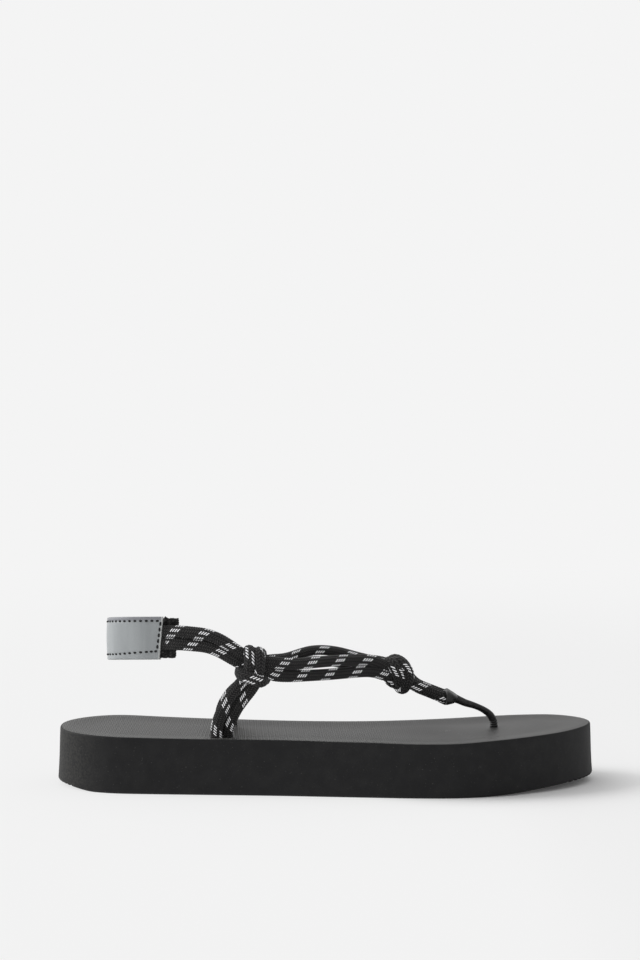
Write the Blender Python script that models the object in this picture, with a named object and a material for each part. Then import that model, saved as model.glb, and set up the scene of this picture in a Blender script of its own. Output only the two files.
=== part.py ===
"""Rope sandal, right shoe: a thick foam sole, a rope upper hitched at both ankles and over the instep,
a slim toe thong and a grey strap round the heel.

Lengths are in millimetres here and turned into metres where a mesh is made.
X runs from heel to toe, Y from the outer side to the inner side of the foot, and Z up from the floor.
"""

import bpy
import bmesh
import numpy as np

MM = 0.001

# Sole sizes.
SOLE_LENGTH = 255.0
SOLE_WIDTH = 88.0
SOLE_HEIGHT = 26.0
SIDE_FLARE = 1.0
BOTTOM_ROUND = 1.4
TOP_ROUND = 0.8
RIM_WIDTH = 3.0
DISH_WIDTH = 14.0
DISH_DEPTH = 0.9
HEEL_BEVEL = 1.8
TOE_SPRING = 3.6
HEEL_BEVEL_SHARE = 0.07
TOE_SPRING_SHARE = 0.26
SOLE_STATIONS = 48

# Plan of the footbed's edge and the height of its two edges over SOLE_HEIGHT.
# along: share of the length; middle and half: shares of the width; outer and inner: shares of the height.
SOLE_PLAN = [
    # along, middle, half, outer, inner
    (0.000, 0.080, 0.375, 0.025, 0.050),
    (0.111, 0.055, 0.396, 0.016, 0.055),
    (0.190, 0.027, 0.398, 0.006, 0.030),
    (0.270, -0.006, 0.392, 0.000, 0.012),
    (0.344, -0.036, 0.386, 0.000, 0.004),
    (0.420, -0.068, 0.382, 0.000, -0.003),
    (0.500, -0.096, 0.391, -0.012, -0.010),
    (0.580, -0.107, 0.416, -0.020, -0.020),
    (0.656, -0.096, 0.455, -0.036, -0.030),
    (0.734, -0.064, 0.489, -0.030, -0.034),
    (0.812, -0.012, 0.486, 0.004, -0.018),
    (0.890, 0.044, 0.455, 0.027, 0.016),
    (0.950, 0.080, 0.430, 0.042, 0.047),
    (1.000, 0.104, 0.400, 0.070, 0.050),
]
# The ends close as superellipses over this share of the length, with this power.
HEEL_END_SHARE, HEEL_END_POWER = 0.14, 2.3
TOE_END_SHARE, TOE_END_POWER = 0.20, 2.2

# Tread: cross grooves in two fields, and finer ones that run out through the heel's and the toe's edge.
GROOVE_WIDTH = 2.2
GROOVE_DEPTH = 1.0
GROOVE_PITCH = 8.0
GROOVE_MARGIN = 7.0
EDGE_GROOVE_WIDTH = 1.2
EDGE_GROOVE_PITCH = 3.0
HEEL_FIELD = (0.09, 0.25)
TOE_FIELD = (0.58, 0.91)
HEEL_EDGE_FIELD = (0.015, 0.07)
TOE_EDGE_FIELD = (0.93, 0.99)

# Rope.
ROPE_DIAMETER = 5.7
ROPE_SIDES = 10
ROPE_STEP = 3.0
ROPE_CLEARANCE = 0.3
ROPE_SLOT_DEPTH = 15.0
PAIR_SPACING = 5.8

# Toe thong.
THONG_HOLE = (80.4, 8.0)
THONG_DIAMETER = 3.4
THONG_WAIST = 0.82
THONG_LOOP_WIDTH = 2.4
THONG_LOOP_WALL = 1.1
THONG_LOOP_ROOM = 0.6
THONG_LOOP_SHIFT = 0.4
THONG_LOOP_CENTRE = (57.8, 1.4, 40.4)
THONG_CLEARANCE = 0.3
BUTTON_DIAMETER = 16.0
BUTTON_THICKNESS = 2.6
BUTTON_RECESS = 1.0

# Heel strap and the tabs that carry the cords.
STRAP_HEIGHT = 20.0
STRAP_THICKNESS = 2.4
STRAP_RADIUS = 18.5
STRAP_MIDDLE = 1.0
STRAP_BEND_X = -84.2
STRAP_END_X = -77.2
STRAP_END_SLANT = 1.8
STRAP_TOP = 81.3
STRAP_TILT = 0.122
TAB_LENGTH = 13.0
TAB_REACH = 6.4
TAB_HEIGHT = 18.4
TAB_THICKNESS = 2.0
TAB_GAP = 0.3
CORD_END_THICKNESS = 2.4
CORD_FLAT_LENGTH = 9.0

# Hitch round the outer pair of cords, from the first leg to the second, seen from outside the foot.
# along: towards the toe; out: away from the foot; up.
ANKLE_HITCH = [
    (-3.2, 2.0, -6.8),
    (-1.3, 4.2, -3.2),
    (-0.5, 5.2, 0.5),
    (-0.7, 4.2, 4.8),
    (-1.0, 0.4, 7.0),
    (-1.8, -3.8, 5.0),
    (-3.3, -5.2, 0.8),
    (-4.9, -3.4, -2.8),
    (-5.5, 0.8, -4.4),
    (-4.2, 4.8, -5.0),
    (-1.0, 6.8, -6.0),
    (2.4, 6.4, -7.2),
    (4.8, 3.2, -7.6),
    (5.5, -1.0, -6.0),
    (4.9, -4.6, -2.2),
    (4.3, -5.2, 2.2),
    (3.9, -3.2, 5.4),
    (3.8, 0.6, 6.4),
    (4.1, 4.0, 4.4),
    (4.4, 5.2, 0.8),
    (4.0, 4.6, -3.2),
    (2.6, 1.8, -7.2),
]
OUTER_HITCH_CENTRE = (-36.2, -22.6, 59.6)
INNER_HITCH_CENTRE = (-34.4, 18.6, 54.0)

# Legs of the ankle loops, from the footbed up. x, y, z.
OUTER_LEG_BACK = [(-52.4, -25.8, 27.0), (-51.9, -25.6, 32.5), (-49.9, -25.2, 37.6), (-46.3, -24.9, 44.4)]
OUTER_LEG_FRONT = [(-47.6, -22.5, 27.0), (-47.1, -22.5, 30.5), (-45.3, -23.0, 34.2), (-41.5, -23.2, 41.2)]
INNER_LEG_BACK = [(-50.2, 22.6, 27.0), (-50.0, 22.3, 31.5), (-48.4, 21.8, 35.6), (-44.9, 21.2, 40.8)]
INNER_LEG_FRONT = [(-45.4, 19.3, 27.0), (-44.7, 19.3, 29.5), (-42.8, 19.5, 32.4), (-39.2, 19.3, 37.4)]

# The long pair, from the outer tab over the instep to the inner tab. x, y, z.
UPPER_CORD_OUTER = [
    (-62.8, -20.4, 74.0),
    (-57.2, -21.3, 73.4),
    (-51.8, -22.0, 71.4),
    (-46.0, -22.4, 67.8),
    (-40.6, -22.6, 64.6),
    (-36.2, -22.6, 62.1),
    (-31.6, -22.1, 60.9),
    (-25.4, -20.9, 60.3),
    (-18.4, -19.2, 59.7),
    (-8.5, -17.0, 60.2),
    (-0.9, -15.2, 60.6),
    (5.3, -13.5, 60.7),
    (12.4, -11.5, 60.2),
    (19.6, -9.5, 59.6),
    (26.0, -6.6, 57.4),
]
LOWER_CORD_OUTER = [
    (-62.8, -20.4, 68.2),
    (-57.2, -21.3, 67.7),
    (-51.8, -22.0, 66.0),
    (-46.0, -22.4, 62.6),
    (-40.6, -22.6, 59.3),
    (-36.2, -22.6, 57.1),
    (-31.6, -22.1, 55.4),
    (-25.4, -20.9, 54.4),
    (-18.4, -19.0, 53.8),
    (-8.5, -16.6, 53.7),
    (-0.9, -14.6, 53.7),
    (7.7, -12.4, 54.0),
    (19.6, -9.5, 53.9),
    (26.0, -6.6, 52.6),
]
UPPER_CORD_TURN = [(30.6, -4.6, 56.2), (32.2, -0.6, 55.8), (30.4, 3.6, 56.2)]
LOWER_CORD_TURN = [(30.6, -4.6, 51.1), (32.2, -0.6, 50.7), (30.4, 3.6, 51.1)]
UPPER_CORD_INNER = [
    (26.2, 6.0, 56.8),
    (20.5, 7.8, 57.4),
    (13.4, 9.6, 58.8),
    (6.3, 11.2, 60.3),
    (-0.8, 12.6, 61.0),
    (-7.5, 14.0, 60.6),
    (-13.2, 15.3, 59.0),
    (-19.4, 16.7, 57.0),
    (-26.4, 18.0, 56.4),
    (-34.4, 18.6, 56.5),
    (-39.0, 19.2, 58.8),
    (-44.4, 19.8, 62.2),
    (-50.2, 20.6, 66.0),
    (-55.9, 21.2, 68.1),
    (-61.6, 21.5, 68.9),
]
LOWER_CORD_INNER = [
    (26.2, 6.0, 51.6),
    (20.5, 7.6, 51.8),
    (13.0, 9.0, 54.0),
    (6.3, 8.8, 56.2),
    (-0.8, 9.0, 57.0),
    (-7.5, 10.6, 56.6),
    (-13.2, 13.2, 54.8),
    (-19.4, 15.8, 52.2),
    (-26.4, 17.8, 51.0),
    (-34.4, 18.6, 51.5),
    (-39.0, 19.2, 53.6),
    (-44.4, 19.8, 57.0),
    (-50.2, 20.6, 60.7),
    (-55.9, 21.2, 62.4),
    (-61.6, 21.5, 63.1),
]

# The toe loop: out of the knot to the thong's loop on the outer side, and back on the inner side. x, y, z.
KNOT_CENTRE = (33.6, -0.8, 52.2)
# A core that closes the hollow left between the cords in the knot: x, y, lowest z, highest z, diameter.
KNOT_CORE = (30.2, 1.0, 51.6, 55.8, 3.4)
# The loop's turns in the knot, from the outer leg to the inner leg. along, out, up.
KNOT_TURNS = [
    (5.2, 2.2, -4.4),
    (1.4, 2.0, -5.4),
    (-2.0, 2.8, -5.0),
    (-4.2, 2.8, -2.2),
    (-5.0, 0.8, 1.6),
    (-5.2, 2.6, 5.2),
    (-3.8, 6.2, 4.0),
    (-1.6, 7.6, 1.2),
    (-0.2, 7.2, -2.4),
    (-0.4, 4.4, -6.0),
    (-1.6, 1.0, -3.4),
    (-3.4, 1.6, 3.4),
    (-2.8, 3.4, 6.0),
    (0.8, 5.2, 5.4),
    (3.8, 6.0, 3.0),
    (5.0, 6.4, -0.4),
    (4.4, 6.0, -4.0),
    (2.0, 4.0, -6.4),
    (-0.6, 0.4, -5.0),
    (-3.0, -3.0, -4.4),
    (-4.8, -3.8, -0.6),
    (-4.6, -4.2, 4.0),
    (-1.0, -4.8, 6.0),
    (3.0, -5.2, 4.4),
    (4.8, -5.4, 0.4),
    (5.6, -5.0, -3.6),
]
TOE_LEG_OUTER = [(42.6, -3.0, 46.0), (47.2, -2.8, 44.2), (51.0, -3.1, 42.6), (54.0, -3.4, 41.4)]
TOE_LEG_INNER = [(54.0, 6.2, 41.4), (51.0, 5.7, 42.6), (47.2, 4.6, 44.2), (42.8, 3.8, 46.1)]

# The thong from its loop down to the footbed. x, y, z.
THONG_ROUTE = [
    (62.8, 1.7, 39.0),
    (66.0, 2.4, 37.5),
    (70.8, 3.8, 35.8),
    (75.2, 5.4, 33.6),
    (78.4, 6.9, 31.0),
    (79.9, 7.7, 28.4),
]

# Finishes: base colour, roughness.
FOAM = ((0.022, 0.022, 0.023), 0.75)
ROPE_BLACK = ((0.018, 0.018, 0.020), 0.85)
THONG_RUBBER = ((0.012, 0.012, 0.013), 0.45)
STRAP_GREY = ((0.36, 0.37, 0.39), 0.45)
TAB_BLACK = ((0.015, 0.015, 0.016), 0.95)


def clear_scene():
    """Remove every object that the file starts with."""
    for thing in list(bpy.data.objects):
        bpy.data.objects.remove(thing, do_unlink=True)


def finish(name, colour, roughness):
    """A plain material with this colour and roughness."""
    material = bpy.data.materials.new(name)
    material.use_nodes = True
    shader = material.node_tree.nodes["Principled BSDF"]
    shader.inputs["Base Color"].default_value = (*colour, 1.0)
    shader.inputs["Roughness"].default_value = roughness
    return material


def column(table, index):
    """One column of a table, as an array."""
    return np.array([row[index] for row in table], dtype=float)


def smooth_value(at, stops, values):
    """Values at the given stops, read between them on one smooth curve."""
    slopes = np.gradient(values, stops)
    at = np.clip(at, stops[0], stops[-1])
    low = np.clip(np.searchsorted(stops, at) - 1, 0, len(stops) - 2)
    span = stops[low + 1] - stops[low]
    t = (at - stops[low]) / span
    start = (2 * t**3 - 3 * t**2 + 1) * values[low] + (t**3 - 2 * t**2 + t) * span * slopes[low]
    end = (3 * t**2 - 2 * t**3) * values[low + 1] + (t**3 - t**2) * span * slopes[low + 1]
    return start + end


def ease(share):
    """0 up to 0, 1 from 1 on, and a smooth step between."""
    share = np.clip(share, 0.0, 1.0)
    return share * share * (3.0 - 2.0 * share)


def end_closing(share, reach, power):
    """How far the outline is open at this share from an end that closes as a superellipse."""
    near = np.clip(1.0 - share / reach, 0.0, 1.0)
    return (1.0 - near**power) ** (1.0 / power)


def sole_edges(along):
    """Outer and inner y of the footbed's edge at this share of the length."""
    stops = column(SOLE_PLAN, 0)
    middle = smooth_value(along, stops, column(SOLE_PLAN, 1)) * SOLE_WIDTH
    half = smooth_value(along, stops, column(SOLE_PLAN, 2)) * SOLE_WIDTH
    half = half * end_closing(along, HEEL_END_SHARE, HEEL_END_POWER)
    half = half * end_closing(1.0 - along, TOE_END_SHARE, TOE_END_POWER)
    return middle - half, middle + half


def sole_top(along, across):
    """Height of the footbed's edge plane. across: 0 at the outer edge, 1 at the inner edge."""
    stops = column(SOLE_PLAN, 0)
    outer = smooth_value(along, stops, column(SOLE_PLAN, 3))
    inner = smooth_value(along, stops, column(SOLE_PLAN, 4))
    return SOLE_HEIGHT * (1.0 + outer + (inner - outer) * across)


def sole_bottom(along):
    """Height of the underside: flat, with a small heel bevel and the toe spring."""
    heel = ease(1.0 - along / HEEL_BEVEL_SHARE) * HEEL_BEVEL
    toe = ease((along - 1.0) / TOE_SPRING_SHARE + 1.0) * TOE_SPRING
    return heel + toe


def sole_outline():
    """The footbed's edge as a closed ring of x, y: up the outer side and back down the inner side."""
    turn = np.linspace(0.0, np.pi, SOLE_STATIONS + 1)
    along = (1.0 - np.cos(turn)) / 2.0
    x = (along - 0.5) * (SOLE_LENGTH - 2.0 * SIDE_FLARE)
    outer, inner = sole_edges(along)
    xs = np.concatenate([x, x[-2:0:-1]])
    ys = np.concatenate([outer, inner[-2:0:-1]])
    return np.stack([xs, ys], axis=1)


def outward(ring):
    """Unit normals of a closed ring of x, y that runs anticlockwise."""
    step = np.roll(ring, -1, axis=0) - np.roll(ring, 1, axis=0)
    step = step / np.linalg.norm(step, axis=1, keepdims=True)
    return np.stack([step[:, 1], -step[:, 0]], axis=1)


def plan_centre():
    """Middle of the sole's plan, which becomes the part's origin."""
    ring = sole_outline()
    ring = ring + outward(ring) * SIDE_FLARE
    return (ring.min(axis=0) + ring.max(axis=0)) / 2.0


CENTRE = plan_centre()


def placed(points):
    """Points in the last's own x, y, z as metres from the part's origin."""
    points = np.asarray(points, dtype=float)
    return (points - np.array([CENTRE[0], CENTRE[1], 0.0])) * MM


def add_object(name, points, faces, material, smooth=True):
    """A mesh object from points in millimetres on the last."""
    mesh = bpy.data.meshes.new(name)
    mesh.from_pydata(placed(points).tolist(), [], [list(face) for face in faces])
    work = bmesh.new()
    work.from_mesh(mesh)
    bmesh.ops.recalc_face_normals(work, faces=work.faces)
    work.to_mesh(mesh)
    work.free()
    if smooth:
        mesh.shade_smooth()
        mesh.set_sharp_from_angle(angle=0.7)
    made = bpy.data.objects.new(name, mesh)
    bpy.context.scene.collection.objects.link(made)
    if material is not None:
        made.data.materials.append(material)
    return made


def as_helper(thing):
    """Hide a cutter or a piece that only joins another."""
    thing.hide_render = True
    thing.display_type = "WIRE"
    return thing


def boolean(thing, helper, operation, crossing_itself=False):
    """Cut the helper out of the thing, or join it on."""
    step = thing.modifiers.new(helper.name, "BOOLEAN")
    step.operation = operation
    step.solver = "EXACT"
    step.use_self = crossing_itself
    step.object = as_helper(helper)


def lathe_rings(rings):
    """Faces that join equal rings one after another and close both ends with a fan."""
    count = len(rings[0])
    points = np.concatenate([np.asarray(ring, dtype=float) for ring in rings])
    faces = []
    for level in range(len(rings) - 1):
        for k in range(count):
            after = (k + 1) % count
            low, high = level * count, (level + 1) * count
            faces.append((low + k, low + after, high + after, high + k))
    faces.append(tuple(range(count))[::-1])
    faces.append(tuple(range((len(rings) - 1) * count, len(rings) * count)))
    return points, faces


def cylinder(name, x, y, low, high, diameter, sides, material=None):
    """An upright cylinder."""
    turn = np.linspace(0.0, 2.0 * np.pi, sides, endpoint=False)
    circle = np.stack([x + np.cos(turn) * diameter / 2.0, y + np.sin(turn) * diameter / 2.0], axis=1)
    rings = [np.column_stack([circle, np.full(sides, z)]) for z in (low, high)]
    return add_object(name, *lathe_rings(rings), material)


def sole_rings():
    """Rings of the sole from the underside's edge, up the side, over the edge and into the footbed."""
    ring = sole_outline()
    normals = outward(ring)
    along = ring[:, 0] / (SOLE_LENGTH - 2.0 * SIDE_FLARE) + 0.5
    outer, inner = sole_edges(along)
    width = np.maximum(inner - outer, 1.0)
    across = np.clip((ring[:, 1] - outer) / width, 0.0, 1.0)
    bottom = sole_bottom(along)
    top = sole_top(along, across)
    levels = [
        # offset outwards from the footbed's edge, height
        (SIDE_FLARE - BOTTOM_ROUND, bottom),
        (SIDE_FLARE - BOTTOM_ROUND * 0.3, bottom + BOTTOM_ROUND * 0.3),
        (SIDE_FLARE, bottom + BOTTOM_ROUND),
        (SIDE_FLARE * 0.25, bottom + (top - bottom) * 0.72),
        (0.0, top - TOP_ROUND),
        (-TOP_ROUND * 0.3, top - TOP_ROUND * 0.3),
        (-TOP_ROUND, top),
        (-TOP_ROUND - RIM_WIDTH, top),
        (-TOP_ROUND - RIM_WIDTH - DISH_WIDTH * 0.5, top - DISH_DEPTH * 0.7),
        (-TOP_ROUND - RIM_WIDTH - DISH_WIDTH, top - DISH_DEPTH),
    ]
    return [np.column_stack([ring + normals * offset, height]) for offset, height in levels]


def strip_across(first, count, flipped):
    """Faces that close a ring by joining its outer and inner points station by station."""
    half = count // 2
    faces = [(first, first + 1, first + count - 1)]
    for k in range(1, half - 1):
        faces.append((first + k, first + k + 1, first + count - k - 1, first + count - k))
    faces.append((first + half - 1, first + half, first + half + 1))
    return [face[::-1] for face in faces] if flipped else faces


def make_sole():
    """The foam block with its rope slots, thong bore, button recess and tread."""
    rings = sole_rings()
    count = len(rings[0])
    points, faces = lathe_rings(rings)
    faces = faces[:-2]
    faces += strip_across(0, count, flipped=True)
    faces += strip_across((len(rings) - 1) * count, count, flipped=False)
    sole = add_object("sole", points, faces, finish("foam", *FOAM))
    for name, back, front in (
        ("outer", OUTER_LEG_BACK, OUTER_LEG_FRONT),
        ("inner", INNER_LEG_BACK, INNER_LEG_FRONT),
    ):
        boolean(sole, slot_cutter(name, back[0], front[0]), "DIFFERENCE")
    bore = cylinder("thong_bore", *THONG_HOLE, -1.0, SOLE_HEIGHT + 5.0, bore_diameter(), 20)
    boolean(sole, bore, "DIFFERENCE")
    recess_top = BUTTON_RECESS + BUTTON_THICKNESS + THONG_CLEARANCE
    recess = cylinder(
        "button_recess", *THONG_HOLE, -1.0, recess_top, BUTTON_DIAMETER + 2.0 * THONG_CLEARANCE, 28
    )
    boolean(sole, recess, "DIFFERENCE")
    boolean(sole, tread_cutter(), "DIFFERENCE")
    return sole


def bore_diameter():
    """Bore for the thong's stem."""
    return THONG_DIAMETER + 2.0 * THONG_CLEARANCE


def footbed_height(x, y):
    """Height of the dished footbed at a point well inside its rim."""
    along = np.array([x / (SOLE_LENGTH - 2.0 * SIDE_FLARE) + 0.5])
    outer, inner = sole_edges(along)
    across = (y - outer) / (inner - outer)
    return float(sole_top(along, across)[0]) - DISH_DEPTH


def slot_floor(x, y):
    """Height of a rope slot's floor."""
    return footbed_height(x, y) - ROPE_SLOT_DEPTH


def slot_cutter(name, back, front):
    """A slot with round ends that takes the two legs of a loop side by side."""
    start, end = np.array(back[:2]), np.array(front[:2])
    direction = (end - start) / np.linalg.norm(end - start)
    side = np.array([-direction[1], direction[0]])
    radius = ROPE_DIAMETER / 2.0 + ROPE_CLEARANCE
    turn = np.linspace(-np.pi / 2.0, np.pi / 2.0, 11)[:, None]
    front_end = end + radius * (np.cos(turn) * direction + np.sin(turn) * side)
    back_end = start - radius * (np.cos(turn) * direction + np.sin(turn) * side)
    outline = np.concatenate([front_end, back_end])
    middle = (start + end) / 2.0
    low = slot_floor(*middle)
    rings = [np.column_stack([outline, np.full(len(outline), z)]) for z in (low, SOLE_HEIGHT + 5.0)]
    return add_object("slot_" + name, *lathe_rings(rings), None)


def groove_places(field, pitch):
    """Shares of the length at which the grooves of one tread field lie."""
    low, high = field
    count = int((high - low) * SOLE_LENGTH / pitch) + 1
    return (low + high) / 2.0 + (np.arange(count) - (count - 1) / 2.0) * pitch / SOLE_LENGTH


def tread_cutter():
    """All grooves of the tread as one cutter of separate bars."""
    points, faces = [], []
    fields = [
        (HEEL_FIELD, GROOVE_PITCH, GROOVE_WIDTH, GROOVE_MARGIN),
        (TOE_FIELD, GROOVE_PITCH, GROOVE_WIDTH, GROOVE_MARGIN),
        (HEEL_EDGE_FIELD, EDGE_GROOVE_PITCH, EDGE_GROOVE_WIDTH, -4.0),
        (TOE_EDGE_FIELD, EDGE_GROOVE_PITCH, EDGE_GROOVE_WIDTH, -4.0),
    ]
    for field, pitch, width, margin in fields:
        for share in groove_places(field, pitch):
            outer, inner = sole_edges(np.array([share]))
            x = (share - 0.5) * SOLE_LENGTH
            depth = float(sole_bottom(np.array([share]))[0]) + GROOVE_DEPTH
            corners = [(-width / 2.0, -3.0), (width / 2.0, -3.0), (width / 2.0, 0.0), (-width / 2.0, 0.0)]
            first = len(points)
            for y in (outer[0] + margin, inner[0] - margin):
                points += [(x + dx, y, depth + dz) for dx, dz in corners]
            faces += [(first + k, first + (k + 1) % 4, first + (k + 1) % 4 + 4, first + k + 4) for k in range(4)]
            faces += [tuple(first + k for k in (3, 2, 1, 0)), tuple(first + k for k in (4, 5, 6, 7))]
    return add_object("tread", np.array(points), faces, None, smooth=False)


def smooth_route(points, step):
    """A smooth curve through the points, read at even steps. Its first and last points stay."""
    points = np.asarray(points, dtype=float)
    chords = np.sqrt(np.linalg.norm(np.diff(points, axis=0), axis=1))
    stops = np.concatenate([[0.0], np.cumsum(chords)])
    fine = np.linspace(0.0, stops[-1], 40 * len(points))
    curve = np.stack([smooth_value(fine, stops, points[:, axis]) for axis in range(3)], axis=1)
    run = np.concatenate([[0.0], np.cumsum(np.linalg.norm(np.diff(curve, axis=0), axis=1))])
    count = max(int(round(run[-1] / step)), 2) + 1
    even = np.linspace(0.0, run[-1], count)
    return np.stack([np.interp(even, run, curve[:, axis]) for axis in range(3)], axis=1)


def tube(name, route, radii, sides, material, flat_ends=None):
    """A round tube along a route, with one radius for each point.

    flat_ends squeezes the ends across the strap: a pair of lengths and the thickness at the very end.
    """
    route = np.asarray(route, dtype=float)
    radii = np.broadcast_to(radii, len(route))
    tangents = np.gradient(route, axis=0)
    tangents /= np.linalg.norm(tangents, axis=1, keepdims=True)
    side = np.cross(tangents[0], (0.0, 0.0, 1.0))
    if np.linalg.norm(side) < 0.3:
        side = np.array([0.0, 1.0, 0.0])
    turn = np.linspace(0.0, 2.0 * np.pi, sides, endpoint=False)[:, None]
    run = np.concatenate([[0.0], np.cumsum(np.linalg.norm(np.diff(route, axis=0), axis=1))])
    rings = []
    for k, (centre, tangent) in enumerate(zip(route, tangents)):
        side = side - tangent * np.dot(side, tangent)
        side = side / np.linalg.norm(side)
        up = np.cross(side, tangent)
        ring = centre + radii[k] * (np.cos(turn) * side + np.sin(turn) * up)
        if flat_ends is not None:
            reach, thickness = flat_ends
            open_share = ease(min(run[k], run[-1] - run[k]) / reach)
            squeeze = thickness / (2.0 * radii[k])
            factor = squeeze + (1.0 - squeeze) * open_share
            ring[:, 1] = centre[1] + (ring[:, 1] - centre[1]) * factor
        rings.append(ring)
    return add_object(name, *lathe_rings(rings), material)


def side_y(sign, radius):
    """y of an upright wall of the heel strap at this distance from its middle. sign: -1 outer, 1 inner."""
    return STRAP_MIDDLE + sign * radius


def strap_drop(y):
    """How much lower the heel strap and its tabs lie at this y than on the outer side."""
    return STRAP_TILT * (y - side_y(-1, STRAP_RADIUS))


def strap_end_x(level):
    """x of the strap's slanting end. level: 0 at its top edge, 1 at its bottom edge."""
    return STRAP_END_X - STRAP_END_SLANT * level


def tab_face_radius():
    """Distance of the tabs' outer face from the strap's middle."""
    return STRAP_RADIUS - STRAP_THICKNESS / 2.0 - TAB_GAP


def cord_ends(sign, rank):
    """The last points of a long cord on its tab. rank: 0 for the upper cord, 1 for the lower one."""
    face = tab_face_radius()
    resting = side_y(sign, face + ROPE_CLEARANCE + ROPE_DIAMETER / 2.0)
    pressed = side_y(sign, face + ROPE_CLEARANCE + CORD_END_THICKNESS / 2.0)
    middle = STRAP_TOP - STRAP_HEIGHT / 2.0 - strap_drop(resting)
    z = middle + 0.1 + PAIR_SPACING * (0.5 - rank)
    level = 0.5 - PAIR_SPACING * (0.5 - rank) / STRAP_HEIGHT
    end = strap_end_x(level) + ROPE_CLEARANCE + 0.2
    return [
        (end, pressed, z),
        (end + CORD_FLAT_LENGTH * 0.35, pressed + (resting - pressed) * 0.25, z),
        (end + CORD_FLAT_LENGTH * 0.9, resting, z),
    ]


def rope(name, route):
    """One cord of the upper."""
    return tube(name, smooth_route(route, ROPE_STEP), ROPE_DIAMETER / 2.0, ROPE_SIDES, None)


def from_centre(centre, table, sign):
    """Points of a hitch in the last's own x, y, z. sign: -1 where out is the outer side of the foot."""
    return [(centre[0] + along, centre[1] + sign * out, centre[2] + up) for along, out, up in table]


def ankle_loop(name, centre, sign, back, front):
    """A loop that rises out of the sole, hitches round the pair of cords and goes down into the sole."""
    leg_foot = ROPE_CLEARANCE
    foot_back = (back[0][0], back[0][1], slot_floor(*back[0][:2]) + leg_foot)
    foot_front = (front[0][0], front[0][1], slot_floor(*front[0][:2]) + leg_foot)
    hitch = from_centre(centre, ANKLE_HITCH, sign)
    mid_back = (back[0][0], back[0][1], (foot_back[2] + back[0][2]) / 2.0)
    mid_front = (front[0][0], front[0][1], (foot_front[2] + front[0][2]) / 2.0)
    route = [foot_back, mid_back, *back, *hitch, *front[::-1], mid_front, foot_front]
    return rope(name, route)


def toe_bight():
    """The toe loop's turn through the thong's loop."""
    x, y, z = THONG_LOOP_CENTRE
    x = x - THONG_LOOP_ROOM * 0.3
    return [(x - 1.6, y - 4.0, z + 0.3), (x, y - 1.4, z), (x, y + 1.4, z), (x - 1.6, y + 4.0, z + 0.3)]


def make_rope_upper():
    """The rope straps as one solid: the long pair, the two ankle loops and the toe loop."""
    material = finish("rope", *ROPE_BLACK)
    ends = CORD_FLAT_LENGTH, CORD_END_THICKNESS
    long_routes = []
    for rank, outer, turn, inner in (
        (0, UPPER_CORD_OUTER, UPPER_CORD_TURN, UPPER_CORD_INNER),
        (1, LOWER_CORD_OUTER, LOWER_CORD_TURN, LOWER_CORD_INNER),
    ):
        route = [*cord_ends(-1, rank), *outer, *turn, *inner, *cord_ends(1, rank)[::-1]]
        long_routes.append(smooth_route(route, ROPE_STEP))
    radius = ROPE_DIAMETER / 2.0
    upper = tube("rope_upper", long_routes[0], radius, ROPE_SIDES, material, flat_ends=ends)
    lower = tube("lower_cord", long_routes[1], radius, ROPE_SIDES, None, flat_ends=ends)
    boolean(upper, lower, "UNION", crossing_itself=True)
    outer_loop = ankle_loop("outer_loop", OUTER_HITCH_CENTRE, -1, OUTER_LEG_BACK, OUTER_LEG_FRONT)
    boolean(upper, outer_loop, "UNION", crossing_itself=True)
    inner_loop = ankle_loop("inner_loop", INNER_HITCH_CENTRE, 1, INNER_LEG_BACK, INNER_LEG_FRONT)
    boolean(upper, inner_loop, "UNION", crossing_itself=True)
    turns = from_centre(KNOT_CENTRE, KNOT_TURNS, -1)
    toe_run = rope("toe_run", [turns[0], *TOE_LEG_OUTER, *toe_bight(), *TOE_LEG_INNER, turns[-1]])
    boolean(upper, toe_run, "UNION", crossing_itself=True)
    knot = rope("knot", [TOE_LEG_OUTER[0], *turns, TOE_LEG_INNER[-1]])
    boolean(upper, knot, "UNION", crossing_itself=True)
    boolean(upper, cylinder("knot_core", *KNOT_CORE, 8), "UNION", crossing_itself=True)
    return upper


def make_toe_thong():
    """The thong: a loop round the rope, the stem and its button under the sole, moulded as one piece."""
    material = finish("thong_rubber", *THONG_RUBBER)
    x, y = THONG_HOLE
    button_top = BUTTON_RECESS + BUTTON_THICKNESS
    top = footbed_height(x, y)
    centre = THONG_LOOP_CENTRE
    start = (centre[0] + ROPE_DIAMETER / 2.0 + THONG_LOOP_ROOM + 0.4, centre[1], centre[2] - 0.9)
    route = [start, *THONG_ROUTE, (x, y, top), (x, y, (top + button_top) / 2.0), (x, y, BUTTON_RECESS + 0.6)]
    path = smooth_route(route, 2.2)
    run = np.linspace(0.0, 1.0, len(path))
    waist = 1.0 - (1.0 - THONG_WAIST) * np.exp(-(((run - 0.28) / 0.16) ** 2))
    stem = tube("toe_thong", path, THONG_DIAMETER / 2.0 * waist, 12, material)
    boolean(stem, thong_loop(centre), "UNION")
    button = cylinder("button", x, y, BUTTON_RECESS, button_top, BUTTON_DIAMETER, 28)
    boolean(stem, button, "UNION")
    return stem


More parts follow.
